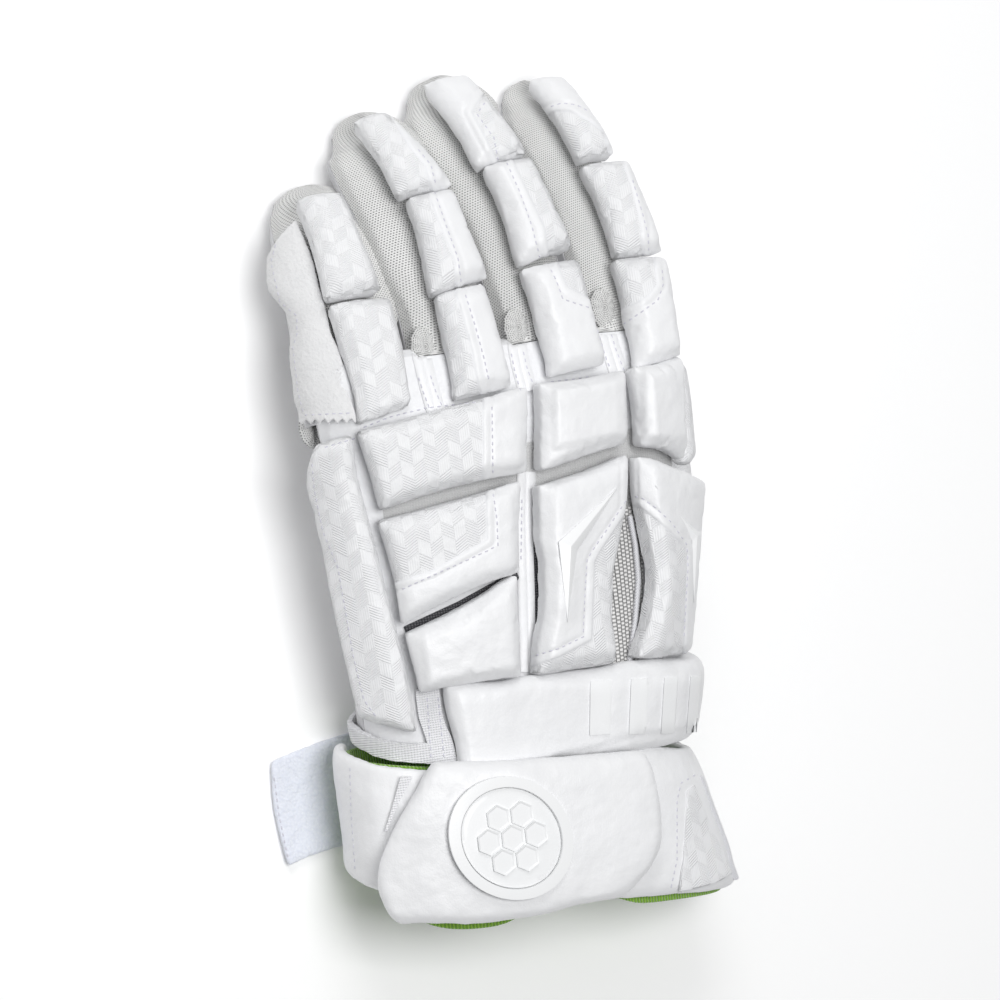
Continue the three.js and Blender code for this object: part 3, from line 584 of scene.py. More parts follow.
FINGER_SEAMS = {
    "ring_pad_tip": [(398, 128), (411, 148), (425, 165), (430, 185), (436, 202)],
    "ring_pad_mid": [(425, 182), (427, 191), (440, 225), (455, 262), (457, 290)],
    "ring_pad_base": [(454, 284), (456, 294), (464, 320), (472, 350), (476, 375), (482, 400)],
    "middle_pad_tip": [(500, 168), (492, 150), (472, 112), (482, 96)],
    "middle_pad_mid": [(555, 275), (549, 257), (545, 228), (527, 190), (513, 161), (510, 150)],
    "middle_pad_base": [(600, 303), (587, 297), (568, 287), (560, 270), (556, 258)],
    "index_pad_tip": [(538, 122), (547, 115), (556, 111), (570, 111), (590, 121), (605, 133),
                      (608, 150), (612, 165)],
    "index_pad_mid": [(616, 148), (622, 160), (633, 190), (641, 225), (643, 253), (645, 270)],
    "index_pad_base": [(653, 252), (655, 265), (657, 285), (648, 296), (632, 305), (606, 316)],
}
ALL_EMBOSSED = 6.0
FINGER_PADS = (
    "pinky_pad_base", "pinky_pad_tip", "ring_pad_base", "ring_pad_mid", "ring_pad_tip",
    "middle_pad_base", "middle_pad_mid", "middle_pad_tip", "index_pad_base", "index_pad_mid",
    "index_pad_tip", "thumb_pad_base", "thumb_pad_tip",
)


def swell(piece, most):
    """Blows the leather out over its foam, no point by more than most."""
    start = points_of(piece)
    middle = start.mean(axis=0)
    move_points(piece, (start - middle) * SIMULATED_SCALE)
    alone(piece)
    cloth = piece.modifiers.new("Swell", "CLOTH")
    cloth.settings.use_pressure = True
    cloth.settings.uniform_pressure_force = SWELL_PRESSURE
    cloth.settings.effector_weights.gravity = 0
    cloth.settings.quality = SWELL_QUALITY
    for step in range(1, SWELL_STEPS + 1):
        bpy.context.scene.frame_set(step)
    bpy.ops.object.modifier_apply(modifier=cloth.name)
    bpy.context.scene.frame_set(1)
    moved = points_of(piece) / SIMULATED_SCALE + middle - start
    length = np.maximum(np.linalg.norm(moved, axis=1), 1e-9)
    share = np.minimum(1, most / length)
    move_points(piece, start + moved * share[:, None])


def beside(pixels, line):
    """How far pixels lie from a line in millimetres, more than 0 on its left as it is drawn down."""
    nearest = np.full(len(pixels), np.inf)
    side = np.ones(len(pixels))
    for start, end in zip(line, line[1:]):
        start, way = np.array(start, float), np.array(end, float) - np.array(start, float)
        offset = pixels - start
        share = np.clip(offset @ way / (way @ way), 0, 1)
        apart = offset - share[:, None] * way
        far = np.linalg.norm(apart, axis=1)
        turn = way[0] * offset[:, 1] - way[1] * offset[:, 0]
        closer = far < nearest - 1e-6
        side[closer] = np.sign(turn[closer])
        nearest = np.minimum(nearest, far)
    return side * nearest * PIXEL / MM


def eased(share):
    """A share kept from 0 to 1, that starts and ends gently."""
    share = np.clip(share, 0, 1)
    return share * share * (3 - 2 * share)


def hide_coordinates(piece):
    """Coordinates in millimetres over a pad's top and down its walls, for what is embossed."""
    points, normals = points_of(piece), normals_of(piece)
    facing = normals @ np.array(away) > 0.5
    up = normals[facing].mean(axis=0)
    up /= np.linalg.norm(up)
    right = np.cross((0, 1, 0), up)
    right /= np.linalg.norm(right)
    onward = np.cross(up, right)
    height = points @ up / MM
    drop = (height.max() - height) * np.clip(WALL_GAIN * (WALL_FROM - normals @ up), 0, 1)
    u = points @ right / MM + np.sign(normals @ right) * np.abs(normals @ right) * drop
    v = points @ onward / MM + np.sign(normals @ onward) * np.abs(normals @ onward) * drop
    keep_vectors(piece, "hide", np.stack([u, v, 0 * u], axis=1))


def lay_leather(piece, seam=None, embossed=True):
    """Marks the embossed side of the seam, and raises the smooth leather that laps over it."""
    points, normals = points_of(piece), normals_of(piece)
    if seam is None:
        side = np.full(len(points), ALL_EMBOSSED if embossed else -ALL_EMBOSSED)
    else:
        side = beside(photo_pixels(points), seam)
        lapped = eased(-side / LAP_WIDTH + LAP_SHIFT)
        groove = np.exp(-(((side + GROOVE_AT) / GROOVE_WIDTH) ** 2))
        shown = np.clip(normals @ np.array(away) * 3, 0, 1)
        rise = (RAISED_LEATHER * (lapped - 0.4) - STITCH_GROOVE * groove) * shown * MM
        move_points(piece, points + normals * rise[:, None])
    keep_numbers(piece, "embossed", side)
    hide_coordinates(piece)


def fit_outline(piece, corners, most=4.5 * MM):
    """Shifts a pad square to the view, so that its four corners lie where the photograph has them."""
    pixels = photo_pixels(points_of(piece))
    corners = [np.array(corner, float) for corner in corners]
    top_left, top_right, low_right, low_left = corners
    right = 0.5 * (top_right - top_left + low_right - low_left)
    down = 0.5 * (low_left - top_left + low_right - top_right)
    basis = np.linalg.inv(np.stack([right, down], axis=1))
    share = (pixels - pixels.mean(axis=0)) @ basis.T
    total, apart = share.sum(axis=1), share[:, 0] - share[:, 1]
    found = [pixels[i] for i in (total.argmin(), apart.argmax(), total.argmax(), apart.argmin())]
    u, v = np.clip(share + 0.5, 0, 1).T[:, :, None]
    moves = [corner - at for corner, at in zip(corners, found)]
    shift = ((1 - u) * (1 - v) * moves[0] + u * (1 - v) * moves[1]
             + u * v * moves[2] + (1 - u) * v * moves[3]) * PIXEL
    length = np.maximum(np.linalg.norm(shift, axis=1, keepdims=True), 1e-9)
    slide(piece, shift * np.minimum(1, most / length))


def crumple(piece, size, depth):
    """Uneven foam and leather: soft hollows of this size, up to half this depth."""
    clouds = bpy.data.textures.new(piece.name + "_unevenness", "CLOUDS")
    clouds.noise_scale = size
    apply(piece, "DISPLACE", texture=clouds, texture_coords="LOCAL", strength=depth,
          mid_level=0.5, direction="NORMAL")


def foam_pad(node, corners=None, voxel=PAD_VOXEL, most=0.7 * MM):
    """A leather-covered foam block in the place of a CAD node."""
    piece = smooth_copy(node, "_leather", FOAM_CREASE, FOAM_EDGE)
    apply(piece, "REMESH", mode="VOXEL", voxel_size=voxel)
    apply(piece, "SMOOTH", factor=0.5, iterations=2)
    swell(piece, most)
    if corners:
        fit_outline(piece, corners)
    subdivide(piece, 1)
    crumple(piece, HOLLOW_SIZE, HOLLOW_DEPTH)
    return piece


def sew_pad(piece, node):
    """A finished pad in white leather, in the place of its CAD node, kept among the pads."""
    sew_on(piece, node, leather)
    pads[node] = piece


# White coated leather, smooth, and hatched in slanting and upright cells where it is embossed.
leather = Finish("white_leather", roughness=0.42, Sheen_Weight=0.1)
where = leather.place()
hide = leather.attribute("hide", "Vector")
from_seam = leather.attribute("embossed")
embossed = from_seam.ramp(0.0, 0.5)
across, onward = leather.split(hide, "X"), leather.split(hide, "Y")
column = across / HATCH_COLUMN
zigzag = onward + ((column * 0.5) % 1 - 0.5).size() * (2 * HATCH_SLOPE * HATCH_COLUMN)
cell = (column.floor() * 2 + (zigzag / HATCH_ROW).floor() * 3) % HATCH_CELLS
slanting = cell < HATCH_SLANTING
upright = across.wave(HATCH_PITCH) * HATCH_UPRIGHT
chevrons = zigzag.wave(HATCH_PITCH / HATCH_LEAN)
lines = chevrons * slanting + upright * (1 - slanting)
hatch = (lines * 0.5 + 0.5) * embossed
creases = leather.noise(where, size=14 * MM, detail=3)
grain = leather.pebbles(where, size=0.7 * MM)
beside_seam = 1 - from_seam.size().ramp(0.0, SEAM_SHADE_WIDTH)
leather.colour(creases * CREASE_SHADE + hatch * HATCH_SHADE + beside_seam * SEAM_SHADE,
               LEATHER_WHITE, LEATHER_SHADE)
leather.roughness(0.36 + creases * 0.14 + embossed * 0.06)
leather.relief(creases, depth=1.0 * MM)
leather.relief(grain, depth=0.05 * MM)
leather.relief(hatch, depth=0.18 * MM)

pads = {}
for node in FINGER_PADS:
    piece = foam_pad(node, FINGER_OUTLINES.get(node))
    lay_leather(piece, FINGER_SEAMS.get(node))
    sew_pad(piece, node)


# The knuckle row and the pads of the hand. Larger blocks of the same foam and leather, in rows
# with gaps that let the hand close, and a long ridged pad down the little finger's side.
HAND_SEAMS = {
    "knuckle_pad_outer": [(483, 395), (483, 440), (483, 492)],
    "back_pad_upper": [(486, 480), (487, 540), (430, 572), (385, 586)],
    "main_pad_left": [(525, 668), (560, 657), (592, 640), (595, 562), (600, 552), (628, 510),
                      (629, 455)],
    "main_pad_right": [(629, 455), (630, 505), (640, 507), (665, 527), (686, 548), (688, 555),
                       (684, 660)],
}
HAND_OUTLINES = {
    "knuckle_pad_outer": [(358, 432), (526, 387), (525, 471), (379, 510)],
    "knuckle_pad_middle": [(533, 386), (623, 371), (625, 443), (535, 470)],
    "knuckle_pad_index": [(626, 371), (681, 359), (684, 457), (634, 445)],
    "back_pad_upper": [(377, 521), (518, 482), (519, 571), (401, 626)],
    "back_pad_lower": [(404, 631), (516, 576), (521, 674), (420, 692)],
    "main_pad_left": [(532, 487), (627, 458), (617, 662), (532, 676)],
    "main_pad_right": [(629, 458), (705, 482), (692, 652), (632, 662)],
}
VENT_PULLS = {
    "main_pad_left": [((625, 540), (621, 540)), ((623, 580), (614, 580)), ((620, 620), (612, 620)),
                      ((618, 655), (617, 655)), ((628, 500), (628, 500)),
                      ((532, 500), (532, 500)), ((532, 590), (538, 590)), ((532, 665), (532, 665))],
    "main_pad_right": [((631, 540), (638, 540)), ((631, 580), (643, 580)), ((631, 620), (639, 620)),
                       ((631, 655), (632, 655)), ((630, 500), (630, 500))],
    "back_pad_lower": [((404, 631), (405, 633)), ((460, 602), (460, 606)), ((516, 576), (516, 576))],
    "back_pad_upper": [((401, 626), (401, 623)), ((460, 598), (460, 596))],
}
PLATEAUS = {
    "knuckle_pad_middle": [(555, 388), (619, 377), (621, 434), (555, 448)],
    "knuckle_pad_index": [(643, 360), (700, 350), (700, 438), (644, 438)],
    "back_pad_lower": [(417, 600), (540, 560), (540, 700), (430, 700)],
}
PLATEAU_RISE = 1.0
PLATEAU_BEVEL = 3.6
SMOOTH_PADS = ("knuckle_pad_middle", "knuckle_pad_index", "back_pad_lower")
HAND_PADS = (
    "knuckle_pad_outer", "knuckle_pad_middle", "knuckle_pad_index", "knuckle_side_panel",
    "back_pad_upper", "back_pad_lower", "main_pad_left", "main_pad_right", "side_pad",
)


def raise_plateau(piece, corners):
    """Lifts the inside of a drawn outline, where the foam has a second, higher step."""
    points = points_of(piece)
    pixels = photo_pixels(points)
    inside = np.min(
        [beside(pixels, (start, end)) for start, end in zip(corners, corners[1:] + corners[:1])],
        axis=0,
    )
    share = eased(inside / PLATEAU_BEVEL + 0.5)
    move_points(piece, points + (share * PLATEAU_RISE * MM)[:, None] * np.array(away))


for node in HAND_PADS:
    piece = foam_pad(node, HAND_OUTLINES.get(node), most=0.9 * MM)
    pull(piece, VENT_PULLS.get(node, []), reach=26.0)
    if node in PLATEAUS:
        raise_plateau(piece, PLATEAUS[node])
    lay_leather(piece, HAND_SEAMS.get(node), embossed=node not in SMOOTH_PADS)
    sew_pad(piece, node)


# The vent and its two spikes. Silver ribbed knit shows in the slot between the main pads, and
# two faceted boomerangs of moulded rubber are glued beside it.
SILVER = (0.82, 0.81, 0.80, 1)
SILVER_SHADE = (0.16, 0.16, 0.16, 1)
KNIT_COLUMN = 1.8 * MM
KNIT_LOOP = 1.5 * MM
KNIT_VALLEY = 0.3
# Painted shadow: a near-black sheet with a faint grid lies in the gap of the back pads and in the slit
# by the main pad, where there is only shade.
GAP_DARK = (0.03, 0.03, 0.035, 1)
GAP_SHADOW_GRID_GREY = (0.15, 0.15, 0.16, 1)
GAP_PITCH = 1.0 * MM
TWILL_PITCH = 0.9 * MM
PIPING_SILVER = (0.86, 0.86, 0.88, 1)
PIPING_SHADE = (0.62, 0.62, 0.66, 1)
VENT_LINE = [(628, 505), (628, 560), (627, 610), (624, 668)]
VENT_WIDTH = 30
VENT_PIPING_WIDTH = 4
VENT_PIPING_LINE = [(629, 514), (635, 545), (638, 580), (635, 620), (629, 664)]
GAP_LINES = {
    "gap_of_back_pads": [(404, 632), (460, 606), (518, 574)],
    "slit_by_main_pad": [(534, 540), (536, 590), (535, 645)],
}
GAP_WIDTH = 9
RIBBON_STEP = 3.0
RIBBON_THICKNESS = 0.6 * MM
RIBBON_CROWN = 0.9
RIBBON_SEAM = 0.1
SPIKE_CORNERS = {
    "spike_left": [(617.5, 487.5), (558.5, 542), (567.5, 622), (577, 551), (571, 546.5)],
    "spike_right": [(655, 485), (701.5, 533), (694, 603), (692, 541), (697, 536)],
}
SPIKE_RISES = (0.9, 1.3, 0.9, 0.6, 3.4)
SPIKE_SINK = 1.5
RUBBER_WHITE = (0.90, 0.90, 0.90, 1)
RUBBER_SHADE = (0.85, 0.86, 0.87, 1)

silver_knit = Finish("silver_knit", roughness=0.5, Sheen_Weight=0.3)
where = silver_knit.place()
across, onward = silver_knit.split(where, "X"), silver_knit.split(where, "Y")
rib = across.threads(KNIT_COLUMN)
offset = (across / KNIT_COLUMN).floor() * 0.5
course = (onward / KNIT_LOOP + offset).ribs(1)
loops = rib.ramp(0.08, 0.5) * (KNIT_VALLEY + (1 - KNIT_VALLEY) * course.ramp(0.05, 0.5))
silver_knit.colour(loops, SILVER_SHADE, SILVER)
silver_knit.relief(loops, depth=0.5 * MM)

moulded_rubber = Finish("moulded_rubber", roughness=0.32)
where = moulded_rubber.place()
patches = moulded_rubber.noise(where, size=20 * MM)
moulded_rubber.colour(patches, RUBBER_WHITE, RUBBER_SHADE)
moulded_rubber.roughness(0.28 + patches * 0.12)
moulded_rubber.relief(moulded_rubber.noise(where, size=0.6 * MM, detail=3), depth=0.04 * MM)

# Painted shadow: near-black with a faint grid, for the shade deep in the gaps between pads.
painted_gap_shadow = Finish("painted_gap_shadow", roughness=0.8)
where = painted_gap_shadow.place()
across, onward = painted_gap_shadow.split(where, "X"), painted_gap_shadow.split(where, "Y")
shadow_grid = across.threads(GAP_PITCH) * onward.threads(GAP_PITCH)
painted_gap_shadow.colour(shadow_grid, GAP_DARK, GAP_SHADOW_GRID_GREY)
painted_gap_shadow.relief(shadow_grid, depth=0.3 * MM)

silver_piping = Finish("silver_piping", roughness=0.38, Sheen_Weight=0.2)
where = silver_piping.place()
across, onward = silver_piping.split(where, "X"), silver_piping.split(where, "Y")
twill = (onward - across).ribs(TWILL_PITCH)
silver_piping.colour(twill, PIPING_SHADE, PIPING_SILVER)
silver_piping.relief(twill, depth=0.15 * MM)


def skin(pieces):
    """A tree in which a sight line finds the nearest of these pieces."""
    corners, faces = [], []
    for piece in pieces:
        start = len(corners)
        corners += [vertex.co.copy() for vertex in piece.data.vertices]
        faces += [[start + i for i in face.vertices] for face in piece.data.polygons]
    return BVHTree.FromPolygons(corners, faces)


def seen(tree, pixel):
    """Where the photographer's sight line meets a tree's pieces, and the normal there."""
    return tree.ray_cast(eye, sight_line(pixel))[:2]


def along(line, step):
    """Points at even steps along a drawn line, each with its direction."""
    found = []
    spare = 0.5 * step
    for start, end in zip(line, line[1:]):
        start, way = Vector(start), Vector(end) - Vector(start)
        while spare < way.length:
            found.append((start + way * (spare / way.length), way.normalized()))
            spare += step
        spare -= way.length
    return found


back_of_hand = skin([fabrics["hand_back"]])


def ribbon(name, line, width, rise, seam=0.0):
    """A strip that lies on the back of the hand along a drawn line, seamed down its middle."""
    bpy.ops.object.select_all(action="DESELECT")
    rows = along(line, RIBBON_STEP)
    bpy.ops.mesh.primitive_grid_add(x_subdivisions=12, y_subdivisions=len(rows) - 1)
    piece = bpy.context.object
    piece.name = name
    points = points_of(piece)
    order = np.lexsort((points[:, 0], points[:, 1])).reshape(len(rows), -1)
    for row, (at, way) in zip(order, rows):
        side = Vector((-way.y, way.x))
        for step, index in enumerate(row):
            share = 2 * step / (len(row) - 1) - 1
            pixel = at - side * (0.5 * width * share)
            hit = seen(back_of_hand, pixel)[0]
            if hit is None:
                hit = back_of_hand.find_nearest(eye + sight_line(pixel) * DISTANCE)[0]
            crease = seam * math.exp(-((share / RIBBON_SEAM) ** 2))
            height = rise * (RIBBON_CROWN - abs(share) ** 3 - crease)
            points[index] = hit + away * (height * MM)
    move_points(piece, points)
    apply(piece, "SOLIDIFY", thickness=RIBBON_THICKNESS, offset=-1)
    subdivide(piece, 1)
    return piece


piece = ribbon("vent_knit", VENT_LINE, VENT_WIDTH, rise=1.2)
sew_on(piece, "vent_mesh", silver_knit)
dress(ribbon("vent_piping", VENT_PIPING_LINE, VENT_PIPING_WIDTH, rise=5.0),
      silver_piping)
# Painted shadow sheets, laid along the gaps between the pads, where there is only shade.
for name, line in GAP_LINES.items():
    dress(ribbon(name, line, GAP_WIDTH, rise=0.5), painted_gap_shadow)
main_pads = skin([pads["main_pad_left"], pads["main_pad_right"]])
for node, corners in SPIKE_CORNERS.items():
    bpy.ops.object.select_all(action="DESELECT")
    bpy.ops.mesh.primitive_circle_add(vertices=len(corners) - 1, fill_type="TRIFAN")
    piece = bpy.context.object
    piece.name = node + "_rubber"
    bpy.ops.object.mode_set(mode="EDIT")
    bpy.ops.mesh.select_all(action="SELECT")
    bpy.ops.mesh.extrude_region_move(TRANSFORM_OT_translate={"value": (0, 0, 1)})
    bpy.ops.object.mode_set(mode="OBJECT")
    points = points_of(piece)
    placed = points.copy()
    quarter = np.round(np.arctan2(points[:, 1], points[:, 0]) / (0.5 * math.pi)) % 4
    for index, point in enumerate(points):
        place = int(quarter[index]) if np.hypot(point[0], point[1]) > 0.5 else len(corners) - 1
        hit = seen(main_pads, corners[place])[0]
        rise = SPIKE_RISES[place] if point[2] > 0.5 else -SPIKE_SINK
        placed[index] = hit + away * (rise * MM)
    move_points(piece, placed)
    alone(piece)
    bpy.ops.object.mode_set(mode="EDIT")
    bpy.ops.mesh.select_all(action="SELECT")
    bpy.ops.mesh.normals_make_consistent(inside=False)
    bpy.ops.object.mode_set(mode="OBJECT")
    bevel(piece, width=0.15 * MM, angle=12)
    sew_on(piece, node, moulded_rubber, angle=math.radians(20))


# The little finger's side. A pinked suede patch is sewn over the mesh, and the hem below it is
# bound with ribbed elastic that runs into the webbing of the wrist strap.
PATCH_PULLS = [
    ((271, 247), (264, 254)), ((278, 280), (267, 288)), ((284, 305), (275, 305)),
    ((285, 320), (292, 320)), ((286, 335), (292, 334)), ((286, 349), (286, 349)),
    ((285, 385), (292, 392)), ((284, 420), (300, 422)), ((343, 419), (357, 421)),
    ((302, 229), (300, 221)), ((303, 245), (310, 245)), ((312, 266), (320, 266)),
    ((322, 304), (331, 304)),
    ((333, 364), (345, 364)), ((310, 420), (326, 422)),
]
PATCH_LOW_EDGE = 414
TOOTH_WIDTH = 9.0
TOOTH_DEPTH = 5.0
TOOTH_MIDDLE = 0.3
BRUSHED_SHARE = 0.4
SUEDE_WHITE = (0.82, 0.82, 0.82, 1)
SUEDE_SHADE = (0.66, 0.66, 0.67, 1)
ELASTIC_WHITE = (0.93, 0.93, 0.94, 1)
ELASTIC_SHADE = (0.72, 0.72, 0.75, 1)
ELASTIC_PULLS = {
    "hem_binding": [
        ((352, 735), (350, 740)), ((380, 748), (383, 757)), ((413, 754), (430, 765)),
        ((354, 720), (348, 707)), ((370, 733), (370, 724)), ((410, 738), (424, 733)),
    ],
    "strap_webbing": [
        ((421, 700), (415, 694)), ((424, 760), (428, 765)), ((441, 700), (443, 694)),
        ((445, 760), (461, 768)),
    ],
}
ELASTIC_PITCH = 0.9 * MM

suede = Finish("suede", roughness=0.95, Sheen_Weight=0.6)
where = suede.place()
nap = suede.noise(where, size=1.2 * MM, detail=5)
brushed = suede.noise(where, size=9 * MM, detail=3)
suede.colour(nap.mixed(brushed, BRUSHED_SHARE), SUEDE_SHADE, SUEDE_WHITE)
suede.relief(brushed, depth=0.8 * MM)
suede.relief(nap, depth=0.5 * MM)

elastic = Finish("elastic_webbing", roughness=0.75, Sheen_Weight=0.3)
where = elastic.place()
cords = elastic.split(where, "X").ribs(ELASTIC_PITCH)
picks = elastic.split(where, "Y").ribs(ELASTIC_PITCH)
hairs = elastic.noise(where, size=2 * MM, detail=4)
weave = cords.mixed(hairs, 0.5).mixed(picks, 0.5)
elastic.colour(weave, ELASTIC_SHADE, ELASTIC_WHITE)
elastic.relief(weave, depth=0.4 * MM)

piece = smooth_copy("suede_patch", "_nap", crease=0.8)
apply(piece, "REMESH", mode="VOXEL", voxel_size=0.6 * MM)
pull(piece, PATCH_PULLS, reach=20.0)
points = points_of(piece)
column, row = photo_pixels(points).T
tooth = np.abs((column / TOOTH_WIDTH) % 1 - 0.5) * 2
low_edge = np.clip((row - PATCH_LOW_EDGE) / TOOTH_DEPTH, 0, 1)
points += (low_edge * (tooth - TOOTH_MIDDLE) * TOOTH_DEPTH * PIXEL)[:, None] * np.array(photo_up)
move_points(piece, points)
sew_on(piece, "suede_patch", suede)
pads["suede_patch"] = piece
for node, pulls in ELASTIC_PULLS.items():
    piece = smooth_copy(node, "_elastic", crease=0.6)
    pull(piece, pulls)
    crumple(piece, 5 * MM, 1.3 * MM)
    sew_on(piece, node, elastic)
    pads[node] = piece


# The wrist strap. A padded band of smooth leather is sewn across the wrist, with four moulded
# ribs welded on its face.
STRAP_PULLS = [
    ((450, 753), (461, 769)), ((480, 752), (482, 765)), ((540, 750), (540, 757)),
    ((600, 745), (600, 753)), ((660, 743), (660, 749)), ((450, 687), (447, 684)),
    ((550, 677), (550, 672)), ((640, 668), (640, 661)), ((700, 656), (700, 656)),
    ((700, 740), (698, 744)),
]
RIB_RISE = 0.9
RIB_SINK = 1.0
RIB_FACING = 0.2
STRAP_RIBS = ("strap_rib_1", "strap_rib_2", "strap_rib_3", "strap_rib_4")

piece = foam_pad("wrist_strap", voxel=1.5 * MM, most=0.7 * MM)
pull(piece, STRAP_PULLS, reach=30.0)
lay_leather(piece, embossed=False)
sew_pad(piece, "wrist_strap")
strap_face = skin([piece])
for node in STRAP_RIBS:
    piece = copy_of(node, node + "_rubber")
    apply(piece, "SUBSURF", subdivision_type="SIMPLE", levels=3)
    points, outer = points_of(piece), normals_of(piece) @ np.array(away) > RIB_FACING
    for index, pixel in enumerate(photo_pixels(points)):
        hit = seen(strap_face, pixel)[0]
        if hit is not None:
            points[index] = hit + away * ((RIB_RISE if outer[index] else -RIB_SINK) * MM)
    move_points(piece, points)
    bevel(piece, width=0.3 * MM, angle=30)
    sew_on(piece, node, moulded_rubber, angle=math.radians(30))


# The cuff. A green knitted lining inside, leather wings wrapped round it, a thick front pad with
# a moulded badge, an embossed inset with silver piping, and a loop fabric closure tab.
BADGE_LIFTS = {"badge_ring": 1.2, "badge_disc": 0.6}
BADGE_SIZE = 1.06
FACING_IT = 0.9
CELL_RADIUS = 5.0
CELL_RIM = 0.8
CELL_HEIGHT = 0.9
CELL_HOLLOW = 0.6
CELL_MIDDLE = 0.3
CELL_STEP = 9.4
INSET_PULLS = [((731, 874), (735, 876)), ((702, 782), (704, 784))]
PIPING_PULLS = [((741, 879), (737, 880)), ((722, 830), (722, 830))]
TAB_PULLS = [
    ((277, 761), (269, 766)), ((283, 800), (269, 797)), ((288, 835), (277, 840)),
    ((292, 865), (287, 863)),
]
FRONT_PAD_OUTLINE = [(436, 765), (641, 751), (632, 887), (397, 915)]
LINING_PULLS = [
    ((350, 760), (354, 760)), ((400, 765), (400, 765)), ((362, 885), (376, 872)),
    ((395, 915), (404, 905)), ((420, 918), (418, 924)), ((470, 922), (470, 926)),
    ((570, 908), (570, 892)), ((680, 893), (680, 895)), ((500, 840), (500, 840)),
    ((660, 820), (660, 820)),
]
FRONT_PAD_PULLS = [
    ((438, 765), (432, 763)), ((490, 764), (490, 764)),
    ((410, 914), (404, 919)), ((440, 911), (438, 924)), ((480, 907), (480, 925)),
    ((534, 900), (534, 917)), ((587, 894), (587, 902)), ((500, 830), (500, 830)),
    ((640, 800), (646, 800)), ((640, 850), (648, 845)), ((400, 800), (404, 800)),
]
WING_PULLS = {
    "cuff_wing_left": [
        ((326, 758), (335, 757)), ((327, 790), (337, 792)), ((329, 830), (339, 832)),
        ((335, 868), (342, 870)), ((352, 888), (358, 893)), ((400, 780), (400, 780)),
        ((400, 840), (400, 840)),
    ],
    "cuff_wing_right": [
        ((640, 772), (640, 746)), ((660, 770), (662, 745)), ((684, 768), (686, 748)),
        ((696, 772), (696, 758)), ((731, 874), (735, 876)), ((716, 830), (720, 830)),
    ],
}
LIME = (0.34, 0.62, 0.06, 1)
DARK_GREEN = (0.10, 0.26, 0.02, 1)
LINING_RIB = 1.3 * MM
LINING_FUZZ = 0.45
INSIDE_SHADE = 0.5
# Painted shade inside the cuff: it starts at the first of these two places across the lining and is full
# at the second.
CUFF_SHADE_STARTS = -0.062
CUFF_SHADE_FULL = -0.045
MOUTH_FROM = -0.12
TUFT_SHARE = 0.3
LOOP_WHITE = (0.84, 0.86, 0.92, 1)
LOOP_SHADE = (0.72, 0.75, 0.85, 1)

green_knit = Finish("green_knit", roughness=0.85, Sheen_Weight=0.3)
where = green_knit.place()
across, onward = green_knit.split(where, "X"), green_knit.split(where, "Y")
rib = across.ribs(LINING_RIB)
fuzz = green_knit.noise(where, size=1.2 * MM, detail=4)
# Painted shade: inside the cuff, above its mouth and beyond the bright lime edge, the knit is darkened
# where shade falls into the cuff.
inside = across.ramp(CUFF_SHADE_STARTS, CUFF_SHADE_FULL) * (onward > MOUTH_FROM)
green_knit.colour(rib.mixed(fuzz, LINING_FUZZ) - inside * INSIDE_SHADE, DARK_GREEN, LIME)
green_knit.relief(rib, depth=0.5 * MM)
green_knit.relief(fuzz, depth=0.3 * MM)

loop_fabric = Finish("loop_fabric", roughness=0.95, Sheen_Weight=0.8)
where = loop_fabric.place()
loops = loop_fabric.pebbles(where, size=1.1 * MM)
tufts = loop_fabric.noise(where, size=2.5 * MM, detail=5)
loop_fabric.colour(loops.mixed(tufts, TUFT_SHARE), LOOP_WHITE, LOOP_SHADE)
loop_fabric.relief(tufts, depth=0.35 * MM)
loop_fabric.relief(loops, depth=0.25 * MM)

piece = smooth_copy("cuff_lining", "_knit", crease=0.6)
pull(piece, LINING_PULLS, reach=38.0)
sew_on(piece, "cuff_lining", green_knit)

for node, pulls in WING_PULLS.items():
    piece = foam_pad(node, voxel=1.3 * MM, most=0.8 * MM)
    pull(piece, pulls, reach=26.0)
    lay_leather(piece, embossed=False)
    sew_pad(piece, node)

piece = foam_pad("cuff_front_pad", FRONT_PAD_OUTLINE, voxel=1.5 * MM, most=0.6 * MM)
pull(piece, FRONT_PAD_PULLS, reach=32.0)
lay_leather(piece, embossed=False)
sew_pad(piece, "cuff_front_pad")

for node, lift in BADGE_LIFTS.items():
    badge = smooth_copy(node, "_rubber", crease=0.9, sharpness=math.radians(35))
    points = points_of(badge)
    middle = points.mean(axis=0)
    move_points(badge, middle + (points - middle) * BADGE_SIZE + np.array(away) * (lift * MM))
    sew_on(badge, node, moulded_rubber, angle=math.radians(40))


def hold_faces(piece, way):
    """Opens the piece in edit mode, with only the faces selected that look one way."""
    alone(piece)
    bpy.ops.object.mode_set(mode="EDIT")
    bpy.ops.mesh.select_mode(type="FACE")
    bpy.ops.mesh.select_all(action="DESELECT")
    bpy.ops.object.mode_set(mode="OBJECT")
    for face in piece.data.polygons:
        face.select = face.normal.dot(Vector(way)) > FACING_IT
    bpy.ops.object.mode_set(mode="EDIT")


def join(copies, name):
    """Makes one piece of many copies."""
    alone(copies[0])
    for copy in copies:
        copy.select_set(True)
    bpy.ops.object.join()
    copies[0].name = name
    return copies[0]


